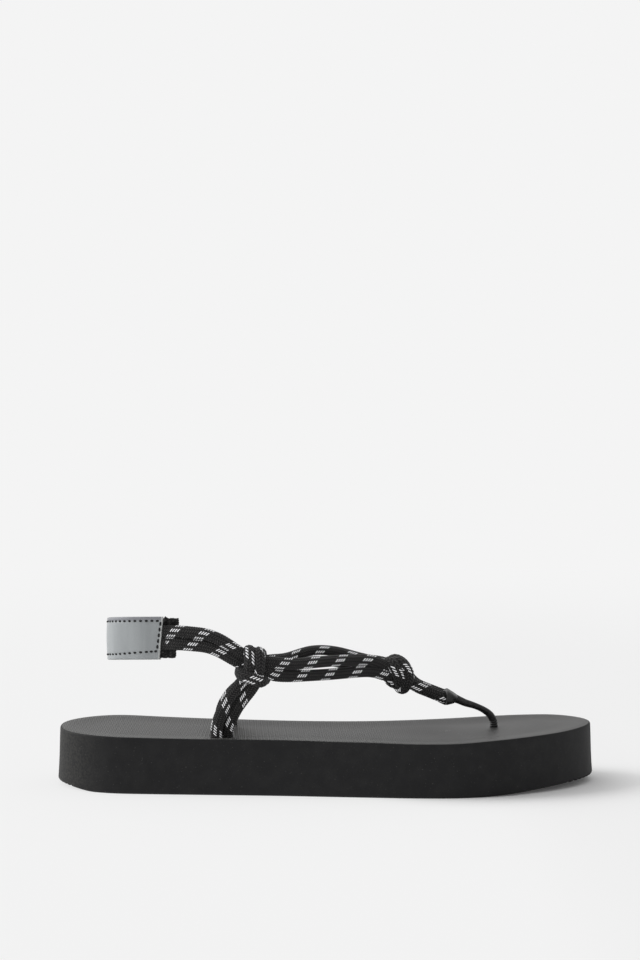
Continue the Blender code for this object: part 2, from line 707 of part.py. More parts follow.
def thong_loop(centre):
    """The ring at the thong's upper end, with its axis across the foot and its wall thickest in front."""
    inner = ROPE_DIAMETER / 2.0 + THONG_LOOP_ROOM
    outer = inner + THONG_LOOP_WALL
    half = THONG_LOOP_WIDTH / 2.0
    profile = [(inner, -half, 0.0), (outer, -half, 1.0), (outer, half, 1.0), (inner, half, 0.0)]
    sides = 24
    turn = np.linspace(0.0, 2.0 * np.pi, sides, endpoint=False)
    points = [
        (
            centre[0] + radius * np.cos(a) + shifted * THONG_LOOP_SHIFT,
            centre[1] + y,
            centre[2] + radius * np.sin(a) + shifted * THONG_LOOP_SHIFT,
        )
        for a in turn
        for radius, y, shifted in profile
    ]
    faces = []
    for k in range(sides):
        here, after = 4 * k, 4 * ((k + 1) % sides)
        faces += [(here + j, here + (j + 1) % 4, after + (j + 1) % 4, after + j) for j in range(4)]
    return add_object("thong_loop", np.array(points), faces, None)


def make_heel_strap():
    """The strap: round the heel from one slanting end to the other, upright and a little tilted."""
    bend = np.linspace(np.pi / 2.0, 3.0 * np.pi / 2.0, 25)
    bend_x = STRAP_BEND_X + STRAP_RADIUS * np.cos(bend)
    bend_y = np.sin(bend)
    rings = []
    stations = [(None, 1.0)] + list(zip(bend_x, bend_y)) + [(None, -1.0)]
    for x, turn_y in stations:
        ring = []
        for level, radius in ((0.0, -0.5), (0.0, 0.5), (1.0, 0.5), (1.0, -0.5)):
            reach = STRAP_RADIUS + radius * STRAP_THICKNESS
            y = STRAP_MIDDLE + reach * turn_y
            if x is None:
                here = strap_end_x(level)
            else:
                here = STRAP_BEND_X + (x - STRAP_BEND_X) * reach / STRAP_RADIUS
            ring.append((here, y, STRAP_TOP - STRAP_HEIGHT * level - strap_drop(y)))
        rings.append(ring)
    strap = add_object("heel_strap", *lathe_rings(rings), finish("strap_grey", *STRAP_GREY))
    edge = strap.modifiers.new("edge", "BEVEL")
    edge.width = 0.5 * MM
    edge.segments = 2
    edge.angle_limit = 1.0
    return strap


def make_tab(name, sign, material):
    """A flat tab inside the strap's end, with the cords on its outer face."""
    face = tab_face_radius()
    low = STRAP_HEIGHT / 2.0 + TAB_HEIGHT / 2.0
    high = STRAP_HEIGHT / 2.0 - TAB_HEIGHT / 2.0
    rings = []
    for radius in (face - TAB_THICKNESS, face):
        y = side_y(sign, radius)
        top = STRAP_TOP - strap_drop(y)
        ring = []
        for depth, toe_end in ((high, True), (low, True), (low, False), (high, False)):
            x = strap_end_x(depth / STRAP_HEIGHT) + TAB_REACH
            if not toe_end:
                x = x - TAB_LENGTH
            ring.append((x, y, top - depth))
        rings.append(ring)
    return add_object(name, *lathe_rings(rings), material, smooth=False)


def make_sandal():
    """Every piece of the sandal."""
    clear_scene()
    make_sole()
    make_rope_upper()
    make_toe_thong()
    make_heel_strap()
    tab_black = finish("tab_black", *TAB_BLACK)
    make_tab("heel_tab_outer", -1, tab_black)
    make_tab("heel_tab_inner", 1, tab_black)


make_sandal()
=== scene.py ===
# %% [markdown]
# # A rope sandal, dressed piece by piece
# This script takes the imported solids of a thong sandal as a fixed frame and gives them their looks.
# The sandal has a thick foam sole, braided cords that are hitched at both ankles and over the instep,
# a slim rubber thong between the toes and a grey strap round the heel.
# Every shape below is a small formula on a grid of numbers, so each can be read, changed and run again.

import bpy
import numpy as np
from mathutils import Matrix


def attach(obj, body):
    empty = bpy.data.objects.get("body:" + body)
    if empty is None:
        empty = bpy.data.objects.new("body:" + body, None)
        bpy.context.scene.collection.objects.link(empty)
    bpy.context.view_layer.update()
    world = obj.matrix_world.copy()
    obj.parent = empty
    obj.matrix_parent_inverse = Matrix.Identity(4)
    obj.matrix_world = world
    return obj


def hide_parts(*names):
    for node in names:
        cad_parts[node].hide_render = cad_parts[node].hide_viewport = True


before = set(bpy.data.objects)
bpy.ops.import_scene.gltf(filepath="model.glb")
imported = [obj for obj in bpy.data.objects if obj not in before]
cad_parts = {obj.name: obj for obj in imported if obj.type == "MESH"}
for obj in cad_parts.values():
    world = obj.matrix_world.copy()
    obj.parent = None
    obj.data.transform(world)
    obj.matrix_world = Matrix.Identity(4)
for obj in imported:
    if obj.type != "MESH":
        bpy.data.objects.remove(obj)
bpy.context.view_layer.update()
print("nodes:", sorted(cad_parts))

# %% [markdown]
# Lengths are written in millimetres on the shoemaker's last: X from heel to toe, Y from the outer to the
# inner side of the foot and Z up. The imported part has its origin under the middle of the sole, so one
# small shift along Y and a factor of a thousandth take a point on the last to its place in the frame.

# %% From the last to the frame
MM = 0.001
LAST_SHIFT = 3.464


def placed(points):
    """Points in millimetres on the last as metres in the frame: shift along Y, then scale."""
    points = np.asarray(points, dtype=float)
    return (points + np.array([0.0, LAST_SHIFT, 0.0])) * MM


# %% [markdown]
# The photograph was taken from the shoe's outer side with a long lens, a little above the sole.
# A camera in Blender is placed by a matrix: its columns are the directions of right, up and back, and
# its place. The focal length in pixels gives the lens for a 36 mm sensor on the picture's long side.

# %% Camera
PICTURE_WIDE, PICTURE_HIGH = 640.0, 960.0
SENSOR = 36.0
FOCAL_PIXELS = 3180.0
CAMERA_DISTANCE = 1500.0
CAMERA_HEIGHT = 242.0
CAMERA_YAW = np.radians(2.2)
AIM = np.array([0.0, 0.0, 26.0])
AIM_PIXEL = (326.7, 728.0)


def camera_matrix():
    """Turn the view so that the aim point lands on its pixel: pitch is the angle down to it less its angle
    below the picture's middle, and turn is its angle to the right of the middle."""
    forward = np.array([np.sin(CAMERA_YAW), np.cos(CAMERA_YAW), 0.0])
    right = np.array([np.cos(CAMERA_YAW), -np.sin(CAMERA_YAW), 0.0])
    rise = CAMERA_HEIGHT - AIM[2]
    place = AIM - forward * CAMERA_DISTANCE + np.array([0.0, 0.0, rise])
    down = np.arctan((AIM_PIXEL[1] - PICTURE_HIGH / 2.0) / FOCAL_PIXELS)
    pitch = np.arctan(rise / CAMERA_DISTANCE) - down
    turn = -np.arctan((AIM_PIXEL[0] - PICTURE_WIDE / 2.0) / FOCAL_PIXELS)
    ahead = forward * np.cos(turn) + right * np.sin(turn)
    right = right * np.cos(turn) - forward * np.sin(turn)
    view = ahead * np.cos(pitch) - np.array([0.0, 0.0, 1.0]) * np.sin(pitch)
    up = np.cross(right, view)
    matrix = np.eye(4)
    matrix[:3, :3] = np.stack([right, up, -view], axis=1)
    matrix[:3, 3] = placed(place)
    return Matrix(matrix.tolist())


lens = bpy.data.cameras.new("camera")
lens.sensor_width = SENSOR
lens.lens = FOCAL_PIXELS / PICTURE_HIGH * SENSOR
camera = bpy.data.objects.new("camera", lens)
camera.matrix_world = camera_matrix()
bpy.context.scene.collection.objects.link(camera)
bpy.context.scene.camera = camera
print("lens", round(lens.lens, 1), "mm")

# %% [markdown]
# Node trees are easier to read when a calculation is one line. So what a node gives is wrapped as a Value
# here. A sign between two Values makes one Math node, in the tree that they are in, and each of the small
# functions makes one other node. An input takes a plain value or a Value.

# %% Small helpers for node trees
class Value:
    """What a node gives. Between numbers +, -, *, / and ** make one Math node each."""

    def __init__(self, socket):
        self.socket = socket

    def __add__(self, other):
        return maths("ADD", self, other)

    def __sub__(self, other):
        return maths("SUBTRACT", self, other)

    def __rsub__(self, other):
        return maths("SUBTRACT", other, self)

    def __mul__(self, other):
        return maths("MULTIPLY", self, other)

    def __truediv__(self, other):
        return maths("DIVIDE", self, other)

    def __pow__(self, other):
        return maths("POWER", self, other)


def give(socket, value):
    """Give a socket a plain value, or join it to what another node gives."""
    if isinstance(value, Value):
        socket.id_data.links.new(value.socket, socket)
    else:
        socket.default_value = value


def node_for(kind, *values, **settings):
    """A node that takes these values in order, in the tree of the first that comes from a node."""
    tree = next(value.socket.id_data for value in values if isinstance(value, Value))
    node = tree.nodes.new("ShaderNode" + kind)
    for name, setting in settings.items():
        setattr(node, name, setting)
    for socket, value in zip(node.inputs, values):
        give(socket, value)
    return node


def maths(operation, *values):
    """One Math node."""
    return Value(node_for("Math", *values, operation=operation).outputs[0])


def ramp(value, low, high, start=0.0, end=1.0):
    """A smooth step: start up to low, end from high on."""
    node = node_for("MapRange", value, low, high, start, end, interpolation_type="SMOOTHSTEP")
    return Value(node.outputs["Result"])


def wave(turns):
    """0 to 1 and back once for each whole number of turns: a half plus half a cosine."""
    return maths("COSINE", turns * (2.0 * np.pi)) * 0.5 + 0.5


def blend_colours(share, first, second):
    """One Mix node for two colours."""
    node = node_for("Mix", share, data_type="RGBA")
    give(node.inputs["A"], first)
    give(node.inputs["B"], second)
    return Value(node.outputs["Result"])


def noise(place, grains, detail=2.0, roughness=0.5):
    """Soft noise at this many grains a metre."""
    node = node_for("TexNoise", place)
    for name, value in (("Scale", grains), ("Detail", detail), ("Roughness", roughness)):
        give(node.inputs[name], value)
    return Value(node.outputs["Fac"])


def axes(place):
    """The x, y and z of a place."""
    return [Value(output) for output in node_for("SeparateXYZ", place).outputs]


def map_place(material, name):
    """The two coordinates of a piece's own UV map."""
    node = material.node_tree.nodes.new("ShaderNodeUVMap")
    node.uv_map = name
    return axes(Value(node.outputs["UV"]))[:2]


def bump(height, depth, strength=1.0, under=None):
    """A Bump node for a height from 0 to 1 that stands for this depth in metres."""
    node = height.socket.id_data.nodes.new("ShaderNodeBump")
    for name, value in (("Strength", strength), ("Distance", depth), ("Height", height), ("Normal", under)):
        if value is not None:
            give(node.inputs[name], value)
    return Value(node.outputs["Normal"])


def new_finish(name, roughness, specular, sheen=0.0, sheen_roughness=0.5):
    """A material, the inputs of its Principled shader and the point's place on the object."""
    material = bpy.data.materials.new(name)
    material.use_nodes = True
    nodes = material.node_tree.nodes
    inputs = nodes["Principled BSDF"].inputs
    inputs["Roughness"].default_value = roughness
    inputs["Specular IOR Level"].default_value = specular
    inputs["Sheen Weight"].default_value = sheen
    inputs["Sheen Roughness"].default_value = sheen_roughness
    return material, inputs, Value(nodes.new("ShaderNodeTexCoord").outputs["Object"])


print("helpers ready")

# %% [markdown]
# The photograph has a pale seamless ground and very soft light, stronger from the heel's side and from
# behind. A sky that is brighter behind the shoe gives the pale sheen on the footbed, which is seen at a
# low angle, and leaves the near side of the sole dark. One wide sun from the left gives the soft shadow
# past the toe. Far from the shoe the ground glows by itself, so that it meets the sky without an edge.
# It glows least under the toe, where the shadow has to stay dark.

# %% Light and ground
PALE = 0.905
SKY_FRONT, SKY_BACK = 0.46, 0.92
SKY_HEEL, SKY_TOE = 1.15, 0.72
SKY_TURN = (-0.9, 0.9)
SUN_STRENGTH = 1.45
SUN_ANGLE = 38.0
SUN_FROM = (-0.88, 0.14, 0.52)
GROUND_WHITE, GROUND_ROUGHNESS = (0.96, 0.96, 0.96, 1.0), 0.95
GROUND_RADIUS, GROUND_SIDES = 30.0, 64
GROUND_FADE = (0.45, 1.1)
GLOW_FRONT, GLOW_TOE, GLOW_TURN = 0.78, 0.44, (0.06, 0.12)
TOE_SHADE_MIDDLE, TOE_SHADE_REACH, TOE_SHADE_GLOW = (0.085, 0.0, 0.0), (0.040, 0.085), 0.10


def unit(vectors):
    """Each vector divided by its length."""
    return vectors / np.linalg.norm(vectors, axis=-1, keepdims=True)


def make_sky():
    """Sky light that grows with the direction's Y, seen by the camera as plain pale ground."""
    world = bpy.data.worlds.new("studio")
    world.use_nodes = True
    nodes = world.node_tree.nodes
    nodes.clear()
    x, y, _ = axes(Value(nodes.new("ShaderNodeTexCoord").outputs["Generated"]))
    glow = ramp(y, *SKY_TURN, SKY_FRONT, SKY_BACK) * ramp(x, *SKY_TURN, SKY_HEEL, SKY_TOE)
    seen = Value(nodes.new("ShaderNodeLightPath").outputs["Is Camera Ray"])
    background = nodes.new("ShaderNodeBackground")
    background.inputs["Color"].default_value = (1.0, 1.0, 1.0, 1.0)
    give(background.inputs["Strength"], seen * PALE + (1.0 - seen) * glow)
    give(nodes.new("ShaderNodeOutputWorld").inputs[0], Value(background.outputs[0]))
    bpy.context.scene.world = world


def make_sun():
    """A sun that shines from SUN_FROM towards the origin."""
    light = bpy.data.lights.new("window", "SUN")
    light.energy = SUN_STRENGTH
    light.angle = np.radians(SUN_ANGLE)
    sun = bpy.data.objects.new("window", light)
    back = unit(np.array(SUN_FROM))
    side = unit(np.cross((0.0, 0.0, 1.0), back))
    matrix = np.eye(4)
    matrix[:3, :3] = np.stack([side, np.cross(back, side), back], axis=1)
    sun.matrix_world = Matrix(matrix.tolist())
    bpy.context.scene.collection.objects.link(sun)


def make_ground():
    """A wide disc whose matt white turns into its own pale glow with the distance from the shoe."""
    turn = np.linspace(0.0, 2.0 * np.pi, GROUND_SIDES, endpoint=False)
    rim = np.stack([np.cos(turn), np.sin(turn), np.zeros(GROUND_SIDES)], axis=1) * GROUND_RADIUS
    mesh = bpy.data.meshes.new("ground")
    mesh.from_pydata(rim.tolist(), [], [list(range(GROUND_SIDES))])
    ground = bpy.data.objects.new("ground", mesh)
    bpy.context.scene.collection.objects.link(ground)
    material, inputs, place = new_finish("ground", GROUND_ROUGHNESS, specular=0.0)
    inputs["Base Color"].default_value = GROUND_WHITE
    nodes = material.node_tree.nodes
    from_toe = node_for("VectorMath", place, TOE_SHADE_MIDDLE, operation="DISTANCE").outputs["Value"]
    from_shoe = node_for("VectorMath", place, operation="LENGTH").outputs["Value"]
    near = ramp(axes(place)[0], *GLOW_TURN, GLOW_FRONT, GLOW_TOE)
    near = near * ramp(Value(from_toe), *TOE_SHADE_REACH, TOE_SHADE_GLOW, 1.0)
    glow = nodes.new("ShaderNodeEmission")
    glow.inputs["Color"].default_value = (PALE, PALE, PALE, 1.0)
    matt, glowing = Value(nodes["Principled BSDF"].outputs[0]), Value(glow.outputs[0])
    mix = node_for("MixShader", ramp(Value(from_shoe), *GROUND_FADE, near, 1.0), matt, glowing)
    give(nodes["Material Output"].inputs["Surface"], Value(mix.outputs[0]))
    mesh.materials.append(material)


make_sky()
make_sun()
make_ground()
bpy.context.scene.view_settings.view_transform = "Standard"
print("sky, sun and ground made")

# %% [markdown]
# A mesh on a grid needs only its points and the list of squares between them. The same few lines
# serve every piece: rows of points that may join up end to end, and columns that may join up too.

# %% Grids, curves and pieces
def grid_faces(rows, columns, rows_join=False, columns_join=False):
    """Squares between neighbours of a rows by columns grid, anticlockwise when rows run up and columns
    run right."""
    row = np.arange(rows if rows_join else rows - 1)[:, None]
    column = np.arange(columns if columns_join else columns - 1)[None, :]
    up, right = (row + 1) % rows, (column + 1) % columns
    corners = ((row, column), (row, right), (up, right), (up, column))
    return np.stack([r * columns + c for r, c in corners], axis=-1).reshape(-1, 4)


def tube_faces(rings, sides):
    """Squares between rings one after another, and one face across each end."""
    first, last = np.arange(sides), np.arange((rings - 1) * sides, rings * sides)
    return [*grid_faces(rings, sides, columns_join=True), first[::-1], last]


def smooth_value(at, stops, values):
    """Values at the stops, read between them on one smooth cubic curve."""
    slopes = np.gradient(values, stops)
    at = np.clip(at, stops[0], stops[-1])
    low = np.clip(np.searchsorted(stops, at) - 1, 0, len(stops) - 2)
    span = stops[low + 1] - stops[low]
    t = (at - stops[low]) / span
    start = (2 * t**3 - 3 * t**2 + 1) * values[low] + (t**3 - 2 * t**2 + t) * span * slopes[low]
    end = (3 * t**2 - 2 * t**3) * values[low + 1] + (t**3 - t**2) * span * slopes[low + 1]
    return start + end


def ease(share):
    """0 up to 0, 1 from 1 on, and a smooth step between."""
    share = np.clip(share, 0.0, 1.0)
    return share * share * (3.0 - 2.0 * share)


def new_piece(name, points, faces, materials, smooth_angle=0.8):
    """A mesh object from points in millimetres on the last and a list of faces. It stands at the origin."""
    mesh = bpy.data.meshes.new(name)
    mesh.from_pydata(placed(points).tolist(), [], [list(face) for face in faces])
    mesh.shade_smooth()
    mesh.set_sharp_from_angle(angle=smooth_angle)
    for material in materials:
        mesh.materials.append(material)
    piece = bpy.data.objects.new(name, mesh)
    bpy.context.scene.collection.objects.link(piece)
    return piece


def dress(piece, slot, *nodes):
    """The piece rides on the one body and stands for these nodes, which are hidden. slot is not used."""
    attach(piece, "root")
    if nodes:
        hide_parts(*nodes)
    print(piece.name, len(piece.data.vertices), "points")


def settled_mesh(piece):
    """Replace a piece's mesh by what its modifiers make of it, and drop the modifiers."""
    seen = piece.evaluated_get(bpy.context.evaluated_depsgraph_get())
    mesh = bpy.data.meshes.new_from_object(seen)
    piece.modifiers.clear()
    piece.data = mesh


def cut_out(piece, helpers):
    """Cut each helper out of the piece with an exact Boolean, then remove the helpers."""
    for helper in helpers:
        step = piece.modifiers.new(helper.name, "BOOLEAN")
        step.operation = "DIFFERENCE"
        step.solver = "EXACT"
        step.object = helper
    settled_mesh(piece)
    for helper in helpers:
        bpy.data.objects.remove(helper, do_unlink=True)


print("grid of 3 by 4 points:", len(grid_faces(3, 4)), "squares")

# %% [markdown]
# ## The sole
# It is one moulded block of soft foam. Its outline is a table of the middle and half width along the
# foot, closed at heel and toe by superellipses, which are rounder than an ellipse. The side leans out
# a little towards the floor, the footbed's edge has a thin raised rim, and the footbed dips inside it.
# A profile with many steps is carried round the outline, so that the roundings catch the light.

# %% Sizes of the sole
SOLE_LENGTH, SOLE_WIDTH, SOLE_HEIGHT = 255.0, 88.0, 26.0
SIDE_FLARE = 1.0
BOTTOM_ROUND, TOP_ROUND = 1.4, 0.8
RIM_WIDTH, DISH_WIDTH, DISH_DEPTH = 3.0, 14.0, 0.9
HEEL_BEVEL, HEEL_BEVEL_SHARE = 1.8, 0.07
TOE_SPRING, TOE_SPRING_SHARE = 3.0, 0.24
HEEL_END_SHARE, HEEL_END_POWER = 0.14, 2.3
TOE_END_SHARE, TOE_END_POWER = 0.20, 2.2
SOLE_PLAN = np.array([
    # along, middle, half: shares of the length and width. outer, inner: edge heights over SOLE_HEIGHT
    (0.000, 0.080, 0.375, 0.025, 0.050),
    (0.111, 0.055, 0.396, 0.016, 0.055),
    (0.190, 0.027, 0.398, 0.006, 0.030),
    (0.270, -0.006, 0.392, 0.000, 0.012),
    (0.344, -0.036, 0.386, 0.000, 0.004),
    (0.420, -0.068, 0.382, 0.000, -0.003),
    (0.500, -0.096, 0.391, -0.012, -0.010),
    (0.580, -0.107, 0.416, -0.020, -0.020),
    (0.656, -0.096, 0.455, -0.036, -0.030),
    (0.734, -0.064, 0.489, -0.030, -0.034),
    (0.812, -0.012, 0.486, 0.004, -0.018),
    (0.890, 0.044, 0.455, 0.027, 0.016),
    (0.950, 0.080, 0.430, 0.042, 0.047),
    (1.000, 0.104, 0.400, 0.070, 0.050),
])
INNER_LENGTH = SOLE_LENGTH - 2.0 * SIDE_FLARE


def plan(along, column):
    """One column of the sole's plan, read on a smooth curve at these shares of the length."""
    return smooth_value(along, SOLE_PLAN[:, 0], SOLE_PLAN[:, column])


def end_closing(share, reach, power):
    """How far the outline is open at this share of the length from an end, as a superellipse:
    (1 - (1 - share / reach)^power)^(1 / power)."""
    near = np.clip(1.0 - share / reach, 0.0, 1.0)
    return (1.0 - near**power) ** (1.0 / power)


def sole_edges(along):
    """Outer and inner y of the footbed's edge: the middle less and plus the half width, closed at the
    ends."""
    middle, half = plan(along, 1) * SOLE_WIDTH, plan(along, 2) * SOLE_WIDTH
    half = half * end_closing(along, HEEL_END_SHARE, HEEL_END_POWER)
    half = half * end_closing(1.0 - along, TOE_END_SHARE, TOE_END_POWER)
    return middle - half, middle + half


def sole_top(along, across):
    """Height of the footbed's edge plane, from the outer edge's at across 0 to the inner edge's at 1."""
    outer, inner = plan(along, 3), plan(along, 4)
    return SOLE_HEIGHT * (1.0 + outer + (inner - outer) * across)


def sole_bottom(along):
    """Height of the underside: flat, with a small heel bevel and the toe spring."""
    heel = ease(1.0 - along / HEEL_BEVEL_SHARE) * HEEL_BEVEL
    toe = ease((along - 1.0) / TOE_SPRING_SHARE + 1.0) * TOE_SPRING
    return heel + toe


print("widest", round(float(np.ptp(np.concatenate(sole_edges(np.linspace(0, 1, 400))))), 1), "mm")

# %% [markdown]
# The tread is a set of straight grooves across the underside. Instead of cutting each groove, the
# stations along the sole are set close together at each groove's two walls, and the floor of the groove
# is raised there. Round the ends of heel and toe small teeth show under the edge. The stations lie about
# a millimetre apart along the outline there, so two are raised, two are not, and so on.

# %% Tread grooves
GROOVE_WIDTH, GROOVE_DEPTH, GROOVE_PITCH, GROOVE_MARGIN = 2.2, 1.0, 8.0, 7.0
TEETH_AT_HEEL, TEETH_AT_TOE, TOOTH_STATIONS = 26, 36, 4
INSIDE_FIELDS = ((0.09, 0.25), (0.58, 0.91))
WALL = 0.12


def groove_places(field, pitch):
    """Middles of the grooves of one field, evenly spaced about the field's middle, as x on the last."""
    low, high = field
    count = int((high - low) * SOLE_LENGTH / pitch) + 1
    share = (low + high) / 2.0 + (np.arange(count) - (count - 1) / 2.0) * pitch / SOLE_LENGTH
    return (share - 0.5) * SOLE_LENGTH


inside_grooves = np.concatenate([groove_places(field, GROOVE_PITCH) for field in INSIDE_FIELDS])


def in_groove(x, middles, width):
    """1 inside a groove, 0 outside, with a steep wall between."""
    away = np.abs(x[..., None] - middles).min(axis=-1)
    return ease((width / 2.0 + WALL / 2.0 - away) / WALL)


print(len(inside_grooves), "grooves across the underside")

# %% Stations along the sole
SOLE_STATIONS = 230
SIDE_STEPS, ARC_STEPS, RIM_STEPS, DISH_STEPS, CROSS_STEPS = 12, 6, 3, 8, 26
SIDE_WAIST = 0.25
DIP_CENTRE, DIP_REACH, DIP_DEPTH = (52.0, -9.0), (34.0, 26.0), 0.7


def sole_stations():
    """Shares of the length: a cosine spread, close at both ends, with four stations at each groove."""
    spread = (1.0 - np.cos(np.linspace(0.0, np.pi, SOLE_STATIONS + 1))) / 2.0
    walls = []
    for side in (-1.0, 1.0):
        for half in (-0.5, 0.5):
            walls.append(inside_grooves + side * GROOVE_WIDTH / 2.0 + half * WALL)
    walls = np.concatenate(walls) / INNER_LENGTH + 0.5
    return np.unique(np.round(np.concatenate([spread, walls]), 6))


along = sole_stations()
print(len(along), "stations along the sole")

# %% Outline of the sole
last_station = len(along) - 1
outer_edge, inner_edge = sole_edges(along)
station_x = (along - 0.5) * INNER_LENGTH
outline = np.stack([
    np.concatenate([station_x, station_x[-2:0:-1]]),
    np.concatenate([outer_edge, inner_edge[-2:0:-1]]),
], axis=1)
ring_along = np.concatenate([along, along[-2:0:-1]])
ring_middle, ring_half = plan(ring_along, 1) * SOLE_WIDTH, plan(ring_along, 2) * SOLE_WIDTH
ring_across = 0.5 + (outline[:, 1] - ring_middle) / (2.0 * ring_half)
step = unit(np.roll(outline, -1, axis=0) - np.roll(outline, 1, axis=0))
ring_out = np.stack([step[:, 1], -step[:, 0]], axis=1)
print(len(outline), "points round the sole")

# %% Profile of the side, carried round the outline
def profile_steps():
    """The side's profile as three lists: offset outwards, share of the height and height added to it."""
    arc = np.linspace(0.0, np.pi / 2.0, ARC_STEPS + 1)
    rise = np.linspace(0.0, 1.0, SIDE_STEPS + 1)[1:-1]
    flank = SIDE_FLARE * (1.0 - rise) - SIDE_WAIST * np.sin(np.pi * rise) * (1.0 - rise)
    flat = np.linspace(0.0, 1.0, RIM_STEPS + 1)[1:]
    dish = np.linspace(0.0, 1.0, DISH_STEPS + 1)[1:]
    offset = np.concatenate([
        SIDE_FLARE - BOTTOM_ROUND * (1.0 - np.sin(arc)),
        flank,
        -TOP_ROUND * (1.0 - np.cos(arc)),
        -TOP_ROUND - RIM_WIDTH * flat,
        -TOP_ROUND - RIM_WIDTH - DISH_WIDTH * dish,
    ])
    share = np.concatenate([np.zeros(len(arc)), rise, np.ones(len(arc) + len(flat) + len(dish))])
    added = np.concatenate([
        BOTTOM_ROUND * (1.0 - np.cos(arc)),
        BOTTOM_ROUND * (1.0 - rise) - TOP_ROUND * rise,
        -TOP_ROUND * (1.0 - np.sin(arc)),
        np.zeros(len(flat)),
        -DISH_DEPTH * np.sin(np.pi / 2.0 * dish),
    ])
    return offset, share, added


offset, share, added = profile_steps()
ring_low, ring_high = sole_bottom(ring_along), sole_top(ring_along, ring_across)
ring_z = ring_low + (ring_high - ring_low) * share[:, None] + added[:, None]
ring_xy = outline[None] + ring_out[None] * offset[:, None, None]
station = np.concatenate([np.arange(last_station + 1), np.arange(last_station - 1, 0, -1)])
from_end = np.minimum(station, last_station - station)
at_end = (station < TEETH_AT_HEEL) | (station > last_station - TEETH_AT_TOE)
notch = GROOVE_DEPTH * (at_end & (from_end % TOOTH_STATIONS >= TOOTH_STATIONS / 2))
ring_z = np.maximum(ring_z, np.where(share[:, None] < 0.5, ring_low + notch, -1.0))
print("sole profile:", len(offset), "steps round", len(outline), "stations")

# %% [markdown]
# Footbed and underside are closed by straight rows of points from the outer to the inner side. The
# forefoot of the footbed has one shallow hollow under the ball of the foot, which the photograph shows
# as a soft darker patch. It is a smooth bell that ends before the rim.

# %% Footbed and underside
def bell(x, y):
    """1 at the hollow's middle and 0 outside its reach, smooth between."""
    away = ((x - DIP_CENTRE[0]) / DIP_REACH[0]) ** 2 + ((y - DIP_CENTRE[1]) / DIP_REACH[1]) ** 2
    return ease(1.0 - np.sqrt(away))


def cross_rows(level, stops):
    """Rows of points from the outer to the inner point of each station of one ring. stops: their shares."""
    xy, z = ring_xy[level], ring_z[level]
    inner = np.arange(len(outline), len(outline) - last_station - 1, -1) % len(outline)
    outer = np.arange(last_station + 1)
    t = stops(outer, inner)[..., None]
    start = np.concatenate([xy[outer], z[outer, None]], axis=1)[:, None, :]
    end = np.concatenate([xy[inner], z[inner, None]], axis=1)[:, None, :]
    return start + (end - start) * t


def even_stops(outer, inner):
    """Even shares across the footbed."""
    return np.broadcast_to(np.linspace(0.0, 1.0, CROSS_STEPS + 1), (len(outer), CROSS_STEPS + 1))


def tread_stops(outer, inner):
    """Shares across the underside, with two close together where the grooves end."""
    width = np.maximum(ring_xy[0][inner, 1] - ring_xy[0][outer, 1], 1e-6)
    margin = np.clip((GROOVE_MARGIN - 1.0) / width, 0.0, 0.4)[:, None]
    wall = np.clip(WALL * 2.0 / width, 0.0, 0.05)[:, None]
    middle = np.linspace(0.0, 1.0, 9)[None, 1:-1]
    low, high = margin + wall, 1.0 - margin - wall
    zero = np.zeros_like(margin)
    start = (zero, margin * 0.5, margin, low)
    end = (high, 1.0 - margin, 1.0 - margin * 0.5, zero + 1.0)
    return np.concatenate([*start, low + (high - low) * middle, *end], axis=1)


footbed = cross_rows(-1, even_stops)
footbed[..., 2] -= DIP_DEPTH * bell(footbed[..., 0], footbed[..., 1])
under = cross_rows(0, tread_stops)
under[:, 1:-1, 2] = sole_bottom(along)[:, None]
inside = np.zeros(under.shape[:2])
inside[:, 3:-3] = 1.0
under[..., 2] += GROOVE_DEPTH * inside * in_groove(under[..., 0], inside_grooves, GROOVE_WIDTH)
print("footbed:", footbed.shape[:2], "points, underside:", under.shape[:2])

# %% Close the sole
def close_with(rows, level, first, flip):
    """Points between a ring's two sides and the faces that join them to the ring. At both tips the rows
    shrink to one point, so the faces there are triangles."""
    count, width = len(outline), rows.shape[1]
    inner_shape = (rows.shape[0] - 2, width - 2)
    index = np.zeros(rows.shape[:2], dtype=int)
    index[1:-1, 1:-1] = first + np.arange(inner_shape[0] * inner_shape[1]).reshape(inner_shape)
    index[:, 0] = level * count + np.arange(rows.shape[0])
    index[:, -1] = level * count + np.arange(count, count - rows.shape[0], -1) % count
    index[0, :], index[-1, :] = index[0, 0], index[-1, 0]
    squares = np.stack([index[:-1, :-1], index[1:, :-1], index[1:, 1:], index[:-1, 1:]], axis=-1)
    heel = np.column_stack([np.full(width - 1, index[0, 0]), squares[0][:, 1:3]])
    toe = np.column_stack([index[-2, :-1], np.full(width - 1, index[-1, 0]), index[-2, 1:]])
    faces = [*squares[1:-1].reshape(-1, 4), *heel, *toe]
    return rows[1:-1, 1:-1].reshape(-1, 3), [face[::-1] for face in faces] if flip else faces


ring_points = np.concatenate([ring_xy, ring_z[..., None]], axis=2)
levels, count = ring_z.shape
side_faces = grid_faces(levels, count, columns_join=True)
bed_points, bed_faces = close_with(footbed, levels - 1, levels * count, False)
low_points, low_faces = close_with(under, 0, levels * count + len(bed_points), True)
sole_points = np.concatenate([ring_points.reshape(-1, 3), bed_points, low_points])
print("sole:", len(sole_points), "points")

# %% [markdown]
# Foam of this kind is a closed-cell rubber. Its skin is nearly black and matt, with grains of a few
# tenths of a millimetre and a little dust that shows as paler specks. Grain and specks come from noise
# in the object's own coordinates, so they keep their size wherever the camera stands.

# %% Foam finish
# The side's tones are several times darker than the footbed's, though both are the same foam: painted shade
# and light.
FOAM_BLACK, FOAM_WORN = (0.0088, 0.0088, 0.0096, 1.0), (0.0135, 0.0135, 0.0140, 1.0)
FOAM_HEEL_LIT, FOAM_DUST = (0.030, 0.029, 0.026, 1.0), (0.085, 0.085, 0.08, 1.0)
